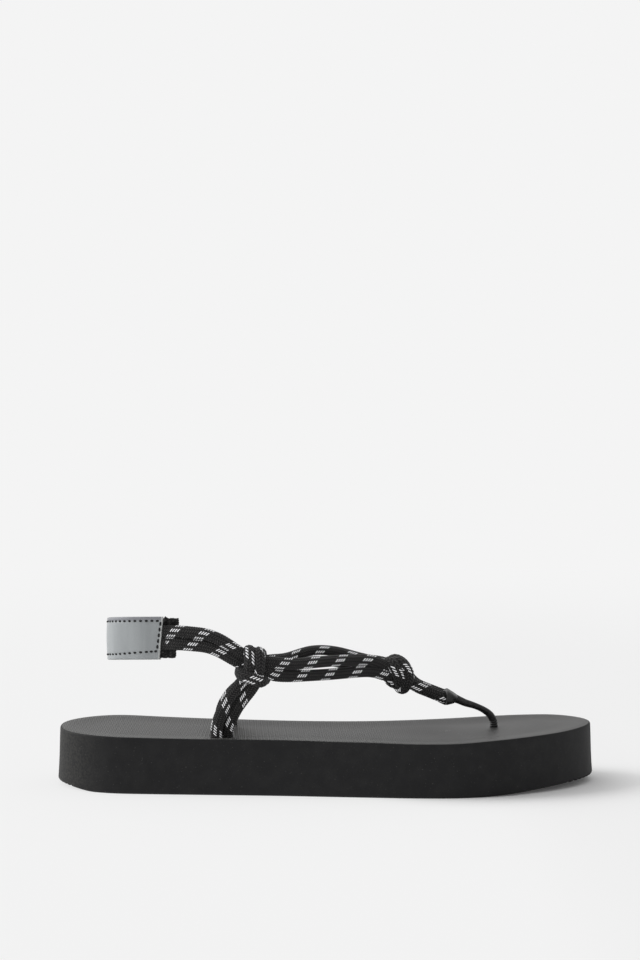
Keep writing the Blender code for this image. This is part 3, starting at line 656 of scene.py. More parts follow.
# Grains a metre of each noise, from the widest patches to the finest grain.
PATCH_GRAINS, PORE_GRAINS, HEEL_LIT_GRAINS, SPECK_GRAINS, SKIN_GRAINS = 160.0, 700.0, 900.0, 1500.0, 2600.0
HEEL_LIT_SPAN = (-0.126, -0.100)
SKIN_DEPTH = 0.00022


def foam_finish():
    """Near-black foam: soft patches, painted light on the heel end, dust specks where a fine noise peaks,
    and a grained skin.
    """
    material, inputs, place = new_finish("foam", roughness=0.68, specular=0.30)
    patches = ramp(noise(place, PATCH_GRAINS, 4.0), 0.35, 0.75)
    # Painted light: the heel end is painted paler in noisy patches, for the light that falls on it from the
    # heel's side.
    heel_painted_light = ramp(axes(place)[0], *HEEL_LIT_SPAN, 0.9, 0.0) * ramp(noise(place, HEEL_LIT_GRAINS, 3.0), 0.35, 0.65)
    specks = ramp(noise(place, SPECK_GRAINS, 1.0), 0.70, 0.80) * 0.55
    skin = blend_colours(heel_painted_light, blend_colours(patches, FOAM_BLACK, FOAM_WORN), FOAM_HEEL_LIT)
    give(inputs["Base Color"], blend_colours(specks, skin, FOAM_DUST))
    height = noise(place, SKIN_GRAINS, 3.0, 0.6) * 0.6 + noise(place, PORE_GRAINS) * 0.4
    give(inputs["Normal"], bump(height, SKIN_DEPTH, 0.55))
    return material


# %% [markdown]
# The footbed is the same foam pressed against a ribbed mould. The ribs run across the foot, a
# millimetre apart, lean over at the heel, are crossed by a second set there, and fade before the toes.
# A cosine of the distance along the foot gives them, and the distance is skewed by y where they lean.
# Their valleys are painted darker and their tops paler: painted shade and highlight over the bump.

# %% Footbed finish
RIB_PITCH, CROSS_RIB_PITCH = 0.00105, 0.00168
RIB_LEAN, LEAN_TURN = 0.11, (-0.075, -0.035)
CROSSING, CROSSING_TURN = (0.55, 0.12), (-0.05, 0.02)
RIB_FADE, RIB_FADE_TURN = 0.10, (0.010, 0.062)
WEAR_GRAINS, BED_GRAINS = 28.0, 2200.0
RIB_DEPTH, BED_DEPTH = 0.00014, 0.00012
VALLEY_SHADE_SHARE, RIDGE_HIGHLIGHT_SHARE = 0.78, 0.40
# Painted light and shade: these tones are several times paler than the side's foam, though the footbed is
# the same foam.
BED_DARK, BED_PALE = (0.032, 0.0315, 0.0305, 1.0), (0.052, 0.0515, 0.050, 1.0)
RIB_VALLEY_SHADE, RIB_RIDGE_HIGHLIGHT = (0.016, 0.0155, 0.0150, 1.0), (0.130, 0.129, 0.125, 1.0)


def footbed_finish():
    """Foam with cross ribs: cosine of (x + lean y) / pitch, times a fade from heel to toe, with painted
    shade in the valleys and a painted highlight on the ridges.
    """
    material, inputs, place = new_finish("footbed", roughness=0.50, specular=0.42)
    x, y, _ = axes(place)
    skew = y * ramp(x, *LEAN_TURN, RIB_LEAN, 0.0)
    first, second = wave((x + skew) / RIB_PITCH), wave((x - skew) / CROSS_RIB_PITCH)
    fade = ramp(x, *RIB_FADE_TURN, 1.0, RIB_FADE)
    ribs = (first + second * ramp(x, *CROSSING_TURN, *CROSSING)) * fade
    tone = blend_colours(ramp(noise(place, WEAR_GRAINS), 0.3, 0.8), BED_DARK, BED_PALE)
    # Painted shade in the rib valleys and a painted highlight on the rib tops, standing in for the light
    # across the ribs.
    tone = blend_colours((1.0 - first) * fade * VALLEY_SHADE_SHARE, tone, RIB_VALLEY_SHADE)
    give(inputs["Base Color"], blend_colours(ribs * RIDGE_HIGHLIGHT_SHARE, tone, RIB_RIDGE_HIGHLIGHT))
    grain = bump(noise(place, BED_GRAINS), BED_DEPTH, 0.5)
    give(inputs["Normal"], bump(ribs, RIB_DEPTH, 0.6, grain))
    return material


foam, bed = foam_finish(), footbed_finish()
print("foam and footbed finishes made")

# %% [markdown]
# The cords go into slots in the footbed and the thong through a round bore, down to a wide recess for
# its button. These are cut with exact Booleans, as a maker would cut them, so the holes are real.

# %% Blocks for cutting
ROPE_DIAMETER = 5.7
ROPE_CLEARANCE = 0.3
SLOT_DEPTH = 15.0
OUTER_SLOT = ((-52.4, -25.8), (-47.6, -22.5))
INNER_SLOT = ((-50.2, 22.6), (-45.4, 19.3))
THONG_HOLE = (80.4, 8.0)
THONG_DIAMETER, THONG_CLEARANCE = 3.4, 0.3
BUTTON_DIAMETER, BUTTON_THICKNESS, BUTTON_RECESS = 16.0, 2.6, 1.0
BORE_SIDES, RECESS_SIDES, SLOT_END_STEPS = 36, 56, 18


def footbed_height(x, y):
    """Height of the dished footbed at a point well inside its rim."""
    share_along = np.array([x / INNER_LENGTH + 0.5])
    outer, inner = sole_edges(share_along)
    return float(sole_top(share_along, (y - outer) / (inner - outer))[0]) - DISH_DEPTH


def prism(name, outline_xy, low, high):
    """An upright block over an outline."""
    rings = [np.column_stack([outline_xy, np.full(len(outline_xy), z)]) for z in (low, high)]
    return new_piece(name, np.concatenate(rings), tube_faces(2, len(outline_xy)), [foam])


def circle(x, y, diameter, sides):
    """Points of a circle, anticlockwise."""
    turn = np.linspace(0.0, 2.0 * np.pi, sides, endpoint=False)
    return np.stack([x + np.cos(turn) * diameter / 2.0, y + np.sin(turn) * diameter / 2.0], axis=1)


def slot_outline(back, front):
    """Two half circles joined by straight sides."""
    start, end = np.array(back), np.array(front)
    ahead = unit(end - start)
    side = np.array([-ahead[1], ahead[0]])
    turn = np.linspace(-np.pi / 2.0, np.pi / 2.0, SLOT_END_STEPS + 1)[:, None]
    half = np.cos(turn) * ahead + np.sin(turn) * side
    radius = ROPE_DIAMETER / 2.0 + ROPE_CLEARANCE
    return np.concatenate([end + radius * half, start - radius * half])


print("footbed at the thong:", round(footbed_height(*THONG_HOLE), 1), "mm high")

# %% Cut the slots and the bore
below, above = -1.0, SOLE_HEIGHT + 5.0
helpers = []
for name, (back, front) in (("slot_outer", OUTER_SLOT), ("slot_inner", INNER_SLOT)):
    middle = (np.array(back) + np.array(front)) / 2.0
    floor = footbed_height(*middle) - SLOT_DEPTH
    helpers.append(prism(name, slot_outline(back, front), floor, above))
bore = THONG_DIAMETER + 2.0 * THONG_CLEARANCE
helpers.append(prism("bore", circle(*THONG_HOLE, bore, BORE_SIDES), below, above))
recess = BUTTON_DIAMETER + 2.0 * THONG_CLEARANCE
recess_top = BUTTON_RECESS + BUTTON_THICKNESS + THONG_CLEARANCE
helpers.append(prism("recess", circle(*THONG_HOLE, recess, RECESS_SIDES), below, recess_top))
sole = new_piece("sole_dressed", sole_points, [*side_faces, *bed_faces, *low_faces], [foam, bed])
bed_from = (levels - 1 - DISH_STEPS - RIM_STEPS) * count
material_index = np.zeros(len(sole.data.polygons), dtype=np.int32)
material_index[bed_from : len(side_faces) + len(bed_faces)] = 1
sole.data.polygons.foreach_set("material_index", material_index)
cut_out(sole, helpers)
dress(sole, "foam", "sole")

# %% [markdown]
# ## The cords
# The upper is one family of round braided cords. A long pair runs from heel tab to heel tab over the
# instep. At each ankle a loop rises out of the sole and is hitched round the pair, and a closed loop
# for the toe is hitched round the pair's turn at the instep. The points below, in millimetres on the
# last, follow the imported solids' routes to within about a millimetre. Each hitch is a table about its own
# middle, so the two ankle hitches share one.

# %% Routes of the cords
ANKLE_HITCH = [
    # along the foot, out from it, up: from a hitch's own middle
    (-3.2, 2.0, -6.8), (-1.3, 4.2, -3.2), (-0.5, 5.2, 0.5), (-0.7, 4.2, 4.8), (-1.0, 0.4, 7.0),
    (-1.8, -3.8, 5.0), (-3.3, -5.2, 0.8), (-4.9, -3.4, -2.8), (-5.5, 0.8, -4.4), (-4.2, 4.8, -5.0),
    (-1.0, 6.8, -6.0), (2.4, 6.4, -7.2), (4.8, 3.2, -7.6), (5.5, -1.0, -6.0), (4.9, -4.6, -2.2),
    (4.3, -5.2, 2.2), (3.9, -3.2, 5.4), (3.8, 0.6, 6.4), (4.1, 4.0, 4.4), (4.4, 5.2, 0.8),
    (4.0, 4.6, -3.2), (2.6, 1.8, -7.2),
]
OUTER_HITCH_CENTRE, INNER_HITCH_CENTRE = (-36.2, -22.6, 59.6), (-34.4, 18.6, 54.0)
OUTER_LEG_BACK = [(-52.4, -25.8, 27.0), (-51.9, -25.6, 32.5), (-49.9, -25.2, 37.6), (-46.3, -24.9, 44.4)]
OUTER_LEG_FRONT = [(-47.6, -22.5, 27.0), (-47.1, -22.5, 30.5), (-45.3, -23.0, 34.2), (-41.5, -23.2, 41.2)]
INNER_LEG_BACK = [(-50.2, 22.6, 27.0), (-50.0, 22.3, 31.5), (-48.4, 21.8, 35.6), (-44.9, 21.2, 40.8)]
INNER_LEG_FRONT = [(-45.4, 19.3, 27.0), (-44.7, 19.3, 29.5), (-42.8, 19.5, 32.4), (-39.2, 19.3, 37.4)]
UPPER_CORD = [
    (-62.8, -20.4, 74.0), (-57.2, -21.3, 73.4), (-51.8, -22.0, 71.4), (-46.0, -22.4, 67.8),
    (-40.6, -22.6, 64.6), (-36.2, -22.6, 62.1), (-31.6, -22.1, 60.9), (-25.4, -20.9, 60.0),
    (-18.4, -19.2, 59.0), (-8.5, -17.0, 59.3), (-0.9, -15.2, 59.7), (5.3, -13.5, 59.9),
    (12.4, -11.5, 59.8), (19.6, -9.5, 59.6), (26.0, -6.6, 57.4), (30.6, -4.6, 56.2), (32.2, -0.6, 55.8),
    (30.4, 3.6, 56.2), (26.2, 6.0, 56.8), (20.5, 7.8, 57.4), (13.4, 9.6, 59.2), (6.3, 11.2, 61.0),
    (-0.8, 12.6, 61.8), (-7.5, 14.0, 61.3), (-13.2, 15.3, 59.3), (-19.4, 16.7, 57.0), (-26.4, 18.0, 56.4),
    (-34.4, 18.6, 56.5), (-39.0, 19.2, 58.8), (-44.4, 19.8, 62.2), (-50.2, 20.6, 66.0),
    (-55.9, 21.2, 68.1), (-61.6, 21.5, 68.9),
]
LOWER_CORD = [
    (-62.8, -20.4, 68.2), (-57.2, -21.3, 67.7), (-51.8, -22.0, 66.0), (-46.0, -22.4, 62.6),
    (-40.6, -22.6, 59.3), (-36.2, -22.6, 57.1), (-31.6, -22.1, 55.4), (-25.4, -20.9, 53.9),
    (-18.4, -19.0, 53.3), (-8.5, -16.6, 53.3), (-0.9, -14.6, 53.4), (7.7, -12.4, 53.8),
    (19.6, -9.5, 54.3), (26.0, -6.6, 53.0), (30.6, -4.6, 51.3), (32.2, -0.6, 50.7), (30.4, 3.6, 51.1),
    (26.2, 6.0, 51.6), (20.5, 7.6, 51.8), (13.0, 9.0, 54.0), (6.3, 8.8, 56.2), (-0.8, 9.0, 57.0),
    (-7.5, 10.6, 56.6), (-13.2, 13.2, 54.8), (-19.4, 15.8, 52.2), (-26.4, 17.8, 51.0),
    (-34.4, 18.6, 51.5), (-39.0, 19.2, 53.6), (-44.4, 19.8, 57.0), (-50.2, 20.6, 60.7),
    (-55.9, 21.2, 62.4), (-61.6, 21.5, 63.1),
]
KNOT_CENTRE = (34.4, -0.8, 52.4)
KNOT_TURNS = [
    (5.2, 2.2, -4.4), (1.4, 2.0, -5.4), (-2.0, 2.8, -5.0), (-4.2, 2.8, -2.2), (-5.0, 0.8, 1.6),
    (-5.2, 2.6, 5.2), (-3.8, 6.2, 4.0), (-1.6, 7.6, 1.2), (-0.2, 7.2, -2.4), (-0.4, 4.4, -6.0),
    (-1.6, 1.0, -3.4), (-3.4, 1.6, 3.4), (-2.8, 3.4, 6.0), (0.8, 5.2, 5.4), (3.8, 6.0, 3.0),
    (5.0, 6.4, -0.4), (4.4, 6.0, -4.0), (2.0, 4.0, -6.4), (-0.6, 0.4, -5.0), (-3.0, -3.0, -4.4),
    (-4.8, -3.8, -0.6), (-4.6, -4.2, 4.0), (-1.0, -4.8, 6.0), (3.0, -5.2, 4.4), (4.8, -5.4, 0.4),
    (5.6, -5.0, -3.6),
]
TOE_LEG_OUTER = [(42.6, -3.0, 46.0), (47.2, -2.8, 44.2), (51.0, -3.1, 42.6), (54.0, -3.4, 41.4)]
TOE_LEG_INNER = [(54.0, 6.2, 41.4), (51.0, 5.7, 42.6), (47.2, 4.6, 44.2), (42.8, 3.8, 46.1)]
THONG_LOOP_CENTRE, BIGHT_BACK = (57.8, 1.4, 40.4), 0.18
print(len(ANKLE_HITCH), "points in an ankle hitch,", len(KNOT_TURNS), "in the knot")

# %% Sizes of the heel strap, which the cords start from
STRAP_HEIGHT, STRAP_THICKNESS, STRAP_RADIUS, STRAP_MIDDLE = 20.0, 2.4, 18.5, 1.0
STRAP_BEND_X, STRAP_END_X, STRAP_END_SLANT = -84.2, -77.2, 1.8
STRAP_TOP, STRAP_TILT = 81.3, 0.122
TAB_LENGTH, TAB_REACH, TAB_HEIGHT, TAB_THICKNESS, TAB_GAP = 13.0, 6.4, 18.4, 2.0, 0.3
CORD_END_THICKNESS, CORD_FLAT_LENGTH, PAIR_SPACING = 2.4, 9.0, 5.8
CORD_ENDS_UP, CORD_ENDS_IN = 0.1, 0.2
TAB_FACE = STRAP_RADIUS - STRAP_THICKNESS / 2.0 - TAB_GAP


def strap_drop(y):
    """How much lower the strap and its tabs lie at this y than on the outer side: an even slope."""
    return STRAP_TILT * (y - (STRAP_MIDDLE - STRAP_RADIUS))


def strap_end_x(level):
    """x of the strap's slanting end, from its top edge at level 0 to its bottom edge at 1."""
    return STRAP_END_X - STRAP_END_SLANT * level


def cord_ends(sign, rank):
    """The last points of a long cord, pressed flat on its tab. sign: -1 outer, 1 inner. rank: 0 for the
    upper cord, 1 for the lower one."""
    resting = STRAP_MIDDLE + sign * (TAB_FACE + ROPE_CLEARANCE + ROPE_DIAMETER / 2.0)
    pressed = STRAP_MIDDLE + sign * (TAB_FACE + ROPE_CLEARANCE + CORD_END_THICKNESS / 2.0)
    above = PAIR_SPACING * (0.5 - rank)
    z = STRAP_TOP - STRAP_HEIGHT / 2.0 - strap_drop(resting) + CORD_ENDS_UP + above
    end = strap_end_x(0.5 - above / STRAP_HEIGHT) + ROPE_CLEARANCE + CORD_ENDS_IN
    steps = ((0.0, pressed), (0.35, pressed + (resting - pressed) * 0.25), (0.9, resting))
    return [(end + CORD_FLAT_LENGTH * share, y, z) for share, y in steps]


print("tabs face", TAB_FACE, "mm out from the strap's middle")

# %% Routes put together
def ankle_route(centre, sign, back, front):
    """Up out of the sole behind, round the pair by the hitch's table, and down into the sole in front."""
    hitch = [(centre[0] + a, centre[1] + sign * b, centre[2] + c) for a, b, c in ANKLE_HITCH]
    feet = []
    for x, y, z in (back[0], front[0]):
        floor = footbed_height(x, y) - SLOT_DEPTH + ROPE_CLEARANCE
        feet.append([(x, y, floor), (x, y, (floor + z) / 2.0)])
    return [*feet[0], *back, *hitch, *front[::-1], *feet[1][::-1]]


def toe_route():
    """A closed loop: round the pair by the knot's table, out to the thong's ring, through it and back."""
    turns = [(KNOT_CENTRE[0] + a, KNOT_CENTRE[1] - b, KNOT_CENTRE[2] + c) for a, b, c in KNOT_TURNS]
    x, y, z = THONG_LOOP_CENTRE
    x = x - BIGHT_BACK
    bight = [(x - 1.6, y + 4.0, z + 0.3), (x, y + 1.4, z), (x, y - 1.4, z), (x - 1.6, y - 4.0, z + 0.3)]
    return [*turns, *TOE_LEG_INNER[::-1], *bight, *TOE_LEG_OUTER[::-1]]


routes = {
    "cord_upper": [*cord_ends(-1, 0), *UPPER_CORD, *cord_ends(1, 0)[::-1]],
    "cord_lower": [*cord_ends(-1, 1), *LOWER_CORD, *cord_ends(1, 1)[::-1]],
    "ankle_loop_outer": ankle_route(OUTER_HITCH_CENTRE, -1, OUTER_LEG_BACK, OUTER_LEG_FRONT),
    "ankle_loop_inner": ankle_route(INNER_HITCH_CENTRE, 1, INNER_LEG_BACK, INNER_LEG_FRONT),
    "toe_loop": toe_route(),
}
print({name: len(route) for name, route in routes.items()})

# %% [markdown]
# As listed, the routes press into each other where they cross. Real cords can't: they squeeze a
# little and push each other aside. So the routes are settled first. Each is read at even steps, and in
# many small rounds every two points that are closer than a squeezed cord is thick move apart, while
# each cord keeps straightening itself and is drawn back towards where it was drawn. Last, the three
# hitches are drawn tight: what is near a hitch's middle moves a little towards it.

# %% Reading the routes at even steps
SETTLE_STEP, SETTLE_ROUNDS = 1.4, 70
SQUEEZED = 0.72
FIRMNESS, STRAIGHTEN, RETURN = 0.90, 0.20, 0.10
OWN_REACH, HELD_POINTS = 1.5, 8
READINGS_PER_POINT = 60
TIGHTENED = (
    # middle of a hitch, and the share of the way that what is near it moves towards it
    ((-36.2, -22.6, 58.8), 0.13),
    ((-34.4, 18.6, 53.4), 0.13),
    ((34.4, -0.8, 52.4), 0.20),
)
TIGHT_REACH = (6.0, 12.0)


def run_along(points):
    """Length along a line up to each of its points."""
    return np.concatenate([[0.0], np.cumsum(np.linalg.norm(np.diff(points, axis=0), axis=1))])


def even_route(points, step, closed=False):
    """A smooth cubic curve through the points, read at even steps along its length."""
    points = np.asarray(points, dtype=float)
    if closed:
        points = np.concatenate([points[-4:], points, points[:5]])
    chords = np.sqrt(np.linalg.norm(np.diff(points, axis=0), axis=1))
    stops = np.concatenate([[0.0], np.cumsum(chords)])
    first, last = (stops[4], stops[-5]) if closed else (stops[0], stops[-1])
    fine = np.linspace(first, last, READINGS_PER_POINT * len(points))
    curve = np.stack([smooth_value(fine, stops, points[:, axis]) for axis in range(3)], axis=1)
    run = run_along(curve)
    count = int(round(run[-1] / step))
    even = np.linspace(0.0, run[-1], count + 1)
    even = even[:-1] if closed else even
    return np.stack([np.interp(even, run, curve[:, axis]) for axis in range(3)], axis=1)


print("toe loop:", len(even_route(routes["toe_loop"], SETTLE_STEP, True)), "points to settle")

# %% Settle them
def settle(named_routes):
    """Rounds of three pulls on all points at once: apart where cords meet, straight along each cord, and
    back to the drawn place. The ends on the tabs and in the sole stay where they are."""
    lines = [even_route(points, SETTLE_STEP, name == "toe_loop") for name, points in named_routes.items()]
    counts = [len(line) for line in lines]
    drawn = np.concatenate(lines)
    owner = np.repeat(np.arange(len(lines)), counts)
    place = np.concatenate([np.arange(count) for count in counts])
    size = np.repeat(counts, counts)
    closed = owner == list(named_routes).index("toe_loop")
    start = np.arange(len(owner)) - place
    before = np.where(closed, start + (place - 1) % size, start + np.maximum(place - 1, 0))
    after = np.where(closed, start + (place + 1) % size, start + np.minimum(place + 1, size - 1))
    steps_apart = np.abs(place[:, None] - place[None, :])
    wrapped = np.where(closed[:, None], np.minimum(steps_apart, size[:, None] - steps_apart), steps_apart)
    neighbours = (owner[:, None] == owner[None, :]) & (wrapped * SETTLE_STEP < OWN_REACH * ROPE_DIAMETER)
    reach = SQUEEZED * ROPE_DIAMETER
    held = ~closed & ((place < HELD_POINTS) | (place >= size - HELD_POINTS))
    points = drawn.copy()
    for _ in range(SETTLE_ROUNDS):
        gap = points[:, None, :] - points[None, :, :]
        distance = np.sqrt((gap**2).sum(axis=2)) + 1e-6
        press = np.where(neighbours, 0.0, np.maximum(reach - distance, 0.0))
        push = (gap / distance[..., None] * press[..., None]).sum(axis=1)
        meeting = np.maximum((press > 0.0).sum(axis=1), 1)[:, None]
        pull = (points[before] + points[after]) / 2.0 - points
        move = FIRMNESS * push / meeting + STRAIGHTEN * pull + RETURN * (drawn - points)
        points = np.where(held[:, None], points, points + move)
    for middle, tighten in TIGHTENED:
        away = np.linalg.norm(points - np.array(middle), axis=1, keepdims=True)
        share = tighten * ease((TIGHT_REACH[1] - away) / (TIGHT_REACH[1] - TIGHT_REACH[0]))
        points = points - share * (points - np.array(middle))
    gap = points[:, None, :] - points[None, :, :]
    nearest = np.where(neighbours, 99.0, np.sqrt((gap**2).sum(axis=2))).min()
    moved = np.linalg.norm(points - drawn, axis=1)
    print("settled: nearest", round(float(nearest), 2), "mm")
    print("moved at most", round(float(moved.max()), 2), "mm")
    return dict(zip(named_routes, np.split(points, np.cumsum(counts)[:-1])))


settled = settle(routes)

# %% [markdown]
# The cord's cover is braided from black yarns, with one band of white tracer yarns that climbs round it
# once every 13.5 mm. The yarns lie in twelve rows along the cord: in six wider rows they lean one way,
# in six narrower ones the other way. The tracers are on top only in the wider rows, so they show as
# groups of short white strokes. One map of the cord, once round in u and one climb in v, gives both
# the relief of the mesh and the colours, so that they match.

# %% Braid pattern
LEAD, YARNS_PER_LEAD, TRACER_YARNS = 13.5, 12.0, 4.0
ROWS, WIDE_ROW = 6.0, 0.55
COLUMNS, CORD_STEP, SMOOTH_PASSES = 48, 0.29, 2
YARN_RELIEF, TRACER_RELIEF, COVER_SWELL = 0.20, 0.05, 0.06
TAUT_X, TAUT_REACH, TAUT_FULL, TAUT_OUTER, TAUT_INNER = 3.0, 24.0, 1.25, 0.07, 0.17


def braid_relief(around, climbs):
    """0 to about 1: a ridge along each row, times a tick for each yarn that leans with or against the
    climb, and a little more on the tracers."""
    row = (around * ROWS) % 1.0
    wide = row < WIDE_ROW
    across = np.where(wide, row / WIDE_ROW, (row - WIDE_ROW) / (1.0 - WIDE_ROW))
    ridge = np.sin(np.pi * across) ** 0.6
    lean = np.where(wide, climbs - around, climbs + around)
    tick = 0.5 + 0.5 * np.cos(2.0 * np.pi * YARNS_PER_LEAD * lean)
    tracer = wide & (((climbs - around) * YARNS_PER_LEAD + 0.5) % YARNS_PER_LEAD < TRACER_YARNS)
    return ridge * (0.35 + 0.65 * tick) + tracer * ridge * TRACER_RELIEF / YARN_RELIEF


print("relief on a yarn:", round(float(braid_relief(0.045, 0.045)), 2))

# %% A tube along a line
def smoothed(line, closed):
    """Round off a settled line: each pass is a quarter of both neighbours and half of itself."""
    for _ in range(SMOOTH_PASSES):
        if closed:
            line = 0.5 * line + 0.25 * (np.roll(line, 1, axis=0) + np.roll(line, -1, axis=0))
        else:
            line[1:-1] = 0.5 * line[1:-1] + 0.25 * (line[:-2] + line[2:])
    return line


def carried_frames(route, closed):
    """Side and up at each station. The side is carried on with the least turn, and on a closed cord what
    is left over at the end is shared out along it."""
    if closed:
        tangents = unit(np.roll(route, -1, axis=0) - np.roll(route, 1, axis=0))
    else:
        tangents = unit(np.gradient(route, axis=0))
    side = np.cross(tangents[0], (0.0, 0.0, 1.0))
    side = side if np.linalg.norm(side) > 0.3 else np.array([0.0, 1.0, 0.0])
    sides = []
    for tangent in tangents:
        side = unit(side - tangent * np.dot(side, tangent))
        sides.append(side)
    sides = np.array(sides)
    ups = np.cross(sides, tangents)
    if closed:
        back = sides[-1] - tangents[0] * np.dot(sides[-1], tangents[0])
        left = np.arctan2(np.dot(back, ups[0]), np.dot(back, sides[0]))
        turn = -left * np.linspace(0.0, 1.0, len(route))[:, None]
        sides, ups = np.cos(turn) * sides + np.sin(turn) * ups, np.cos(turn) * ups - np.sin(turn) * sides
    return sides, ups


def tube(route, radius, closed=False):
    """Rings round a line: its point + radius (side cos turn + up sin turn). radius: stations by columns."""
    sides, ups = carried_frames(route, closed)
    turn = 2.0 * np.pi * np.arange(radius.shape[1])[None, :, None] / radius.shape[1]
    outwards = np.cos(turn) * sides[:, None] + np.sin(turn) * ups[:, None]
    return route[:, None] + radius[..., None] * outwards


print("cord pieces:", {name: len(line) for name, line in settled.items()})

# %% One cord
def drawn_thin(route):
    """How thick a cord stays where it is pulled taut: 1 less a bell in x, deeper on the inner side."""
    depth = np.where(route[:, 1] < 0.0, TAUT_OUTER, TAUT_INNER)
    return 1.0 - depth * ease(TAUT_FULL - np.abs(route[:, 0] - TAUT_X) / TAUT_REACH)


def make_cord(name, line, finish, phase, closed=False, flat_ends=False):
    """A round tube of rings along the line. Radius = cord radius + cover swell + relief depth times
    (the braid's relief - 0.75). flat_ends marks a long cord: it is thinner where it is taut, and both
    its ends are pressed flat across the strap, as they are sewn on their tabs."""
    route = even_route(smoothed(line.copy(), closed), CORD_STEP, closed)
    run = run_along(route)
    whole = run[-1] + np.linalg.norm(route[0] - route[-1]) if closed else run[-1]
    climbs = run / whole * np.round(whole / LEAD) if closed else run / LEAD
    climbs = climbs + phase
    relief = braid_relief(np.arange(COLUMNS)[None, :] / COLUMNS, climbs[:, None])
    rings = tube(route, ROPE_DIAMETER / 2.0 + COVER_SWELL + YARN_RELIEF * (relief - 0.75), closed)
    if flat_ends:
        rings = route[:, None] + (rings - route[:, None]) * drawn_thin(route)[:, None, None]
        open_share = ease(np.minimum(run, run[-1] - run) / CORD_FLAT_LENGTH)
        squeeze = CORD_END_THICKNESS / ROPE_DIAMETER
        factor = squeeze + (1.0 - squeeze) * open_share
        rings[..., 1] = route[:, None, 1] + (rings[..., 1] - route[:, None, 1]) * factor[:, None]
    rows = len(route)
    squares = grid_faces(rows, COLUMNS, rows_join=closed, columns_join=True)
    faces = squares if closed else tube_faces(rows, COLUMNS)
    cord = new_piece(name, rings.reshape(-1, 3), [face[::-1] for face in faces], [finish], smooth_angle=1.2)
    column = squares % COLUMNS
    last = (column.max(axis=1) == COLUMNS - 1) & (column.min(axis=1) == 0)
    u = (column + np.where(last[:, None] & (column == 0), COLUMNS, 0)) / COLUMNS
    row = squares // COLUMNS
    wraps = closed & (row.max(axis=1) == rows - 1) & (row.min(axis=1) == 0)
    v = np.where(wraps[:, None] & (row == 0), climbs[0] + np.round(whole / LEAD), climbs[row])
    flat = np.stack([u[:, ::-1], v[:, ::-1]], axis=2).reshape(-1, 2)
    spare = len(cord.data.loops) - len(flat)
    flat = np.concatenate([flat, np.zeros((spare, 2))])
    layer = cord.data.uv_layers.new(name="braid")
    layer.data.foreach_set("uv", flat.astype(np.float32).ravel())
    print(name, "is", round(float(whole)), "mm long")
    return cord


print("a cord has", COLUMNS, "columns and a ring every", CORD_STEP, "mm")

# %% [markdown]
# In the cord's finish the same rows and ticks are worked out once more, now in shader nodes and far
# finer than the mesh: the white strokes are where the climbing band, a yarn and a wide row meet. Black
# yarn scatters light like cloth, so it is rough, with a little sheen. The tracers are bright filament
# yarns that send some light straight back, which a faint glow of their own stands for.

# %% Cord finish
YARN_BLACK, YARN_TOP_HIGHLIGHT = (0.0050, 0.0050, 0.0055, 1.0), (0.105, 0.100, 0.098, 1.0)
TRACER_WHITE, TRACER_GREY = (0.97, 0.97, 0.98, 1.0), (0.72, 0.73, 0.76, 1.0)
TRACER_GLOW = 0.24
TRACER_START = (-0.0766, -0.0752)
STROKE_EDGE, STROKE_END = (0.42, 0.60), (0.08, 0.26)
FIBRE_GRAINS, YARN_DEPTH = 3500.0, 0.00036


def cord_finish():
    """Black braid with white tracers: band(v - u) times stroke(12 (v - u)) times row(6 u)."""
    material, inputs, place = new_finish("rope", roughness=0.78, specular=0.30, sheen=0.12)
    u, v = map_place(material, "braid")
    climb = v - u
    row = maths("FRACT", u * ROWS)
    wide = maths("LESS_THAN", row, WIDE_ROW)
    narrow = 1.0 - wide
    across = row / WIDE_ROW * wide + (row - WIDE_ROW) / (1.0 - WIDE_ROW) * narrow
    ridge = maths("SINE", across * np.pi)
    with_climb, against = wave(climb * YARNS_PER_LEAD), wave((v + u) * YARNS_PER_LEAD)
    yarn = (with_climb * wide + against * narrow) * ridge**0.5
    turned = maths("FRACT", climb + 0.5 / YARNS_PER_LEAD)
    band = maths("LESS_THAN", turned, TRACER_YARNS / YARNS_PER_LEAD) * wide
    stroke = ramp(with_climb, *STROKE_EDGE) * ramp(ridge, *STROKE_END)
    tracer = band * stroke * ramp(axes(place)[0], *TRACER_START)
    fibres = noise(place, FIBRE_GRAINS)
    # Painted light and shade on the braid: the yarn tops are painted paler and the grooves between them
    # darker.
    black = blend_colours(yarn**1.6 * ramp(fibres, 0.25, 0.7), YARN_BLACK, YARN_TOP_HIGHLIGHT)
    white = blend_colours(ramp(fibres, 0.35, 0.6), TRACER_GREY, TRACER_WHITE)
    give(inputs["Base Color"], blend_colours(tracer, black, white))
    give(inputs["Emission Color"], TRACER_WHITE)
    give(inputs["Emission Strength"], tracer * TRACER_GLOW)
    give(inputs["Normal"], bump(yarn * 0.75 + fibres * 0.25, YARN_DEPTH, 0.9))
    return material


rope_finish = cord_finish()
for name, phase in (
    ("cord_upper", 0.70),
    ("cord_lower", 0.05),
    ("ankle_loop_outer", 0.30),
    ("ankle_loop_inner", 0.72),
    ("toe_loop", 0.0),
):
    is_long, is_closed = name.startswith("cord"), name == "toe_loop"
    cord = make_cord(name, settled[name], rope_finish, phase, closed=is_closed, flat_ends=is_long)
    dress(cord, "rope", "rope_upper")

# %% [markdown]
# ## The heel strap
# It is a band of coated grey cloth, folded over a soft filler and sewn along both edges and across both
# ends. Sewing pulls the cloth down in a narrow trough with a small pucker at each stitch, and lets it
# swell a little between the seams. The strap's middle line runs straight, round half a circle behind the
# heel and straight again. All shapes on it are functions of the run along it and the depth from its top.

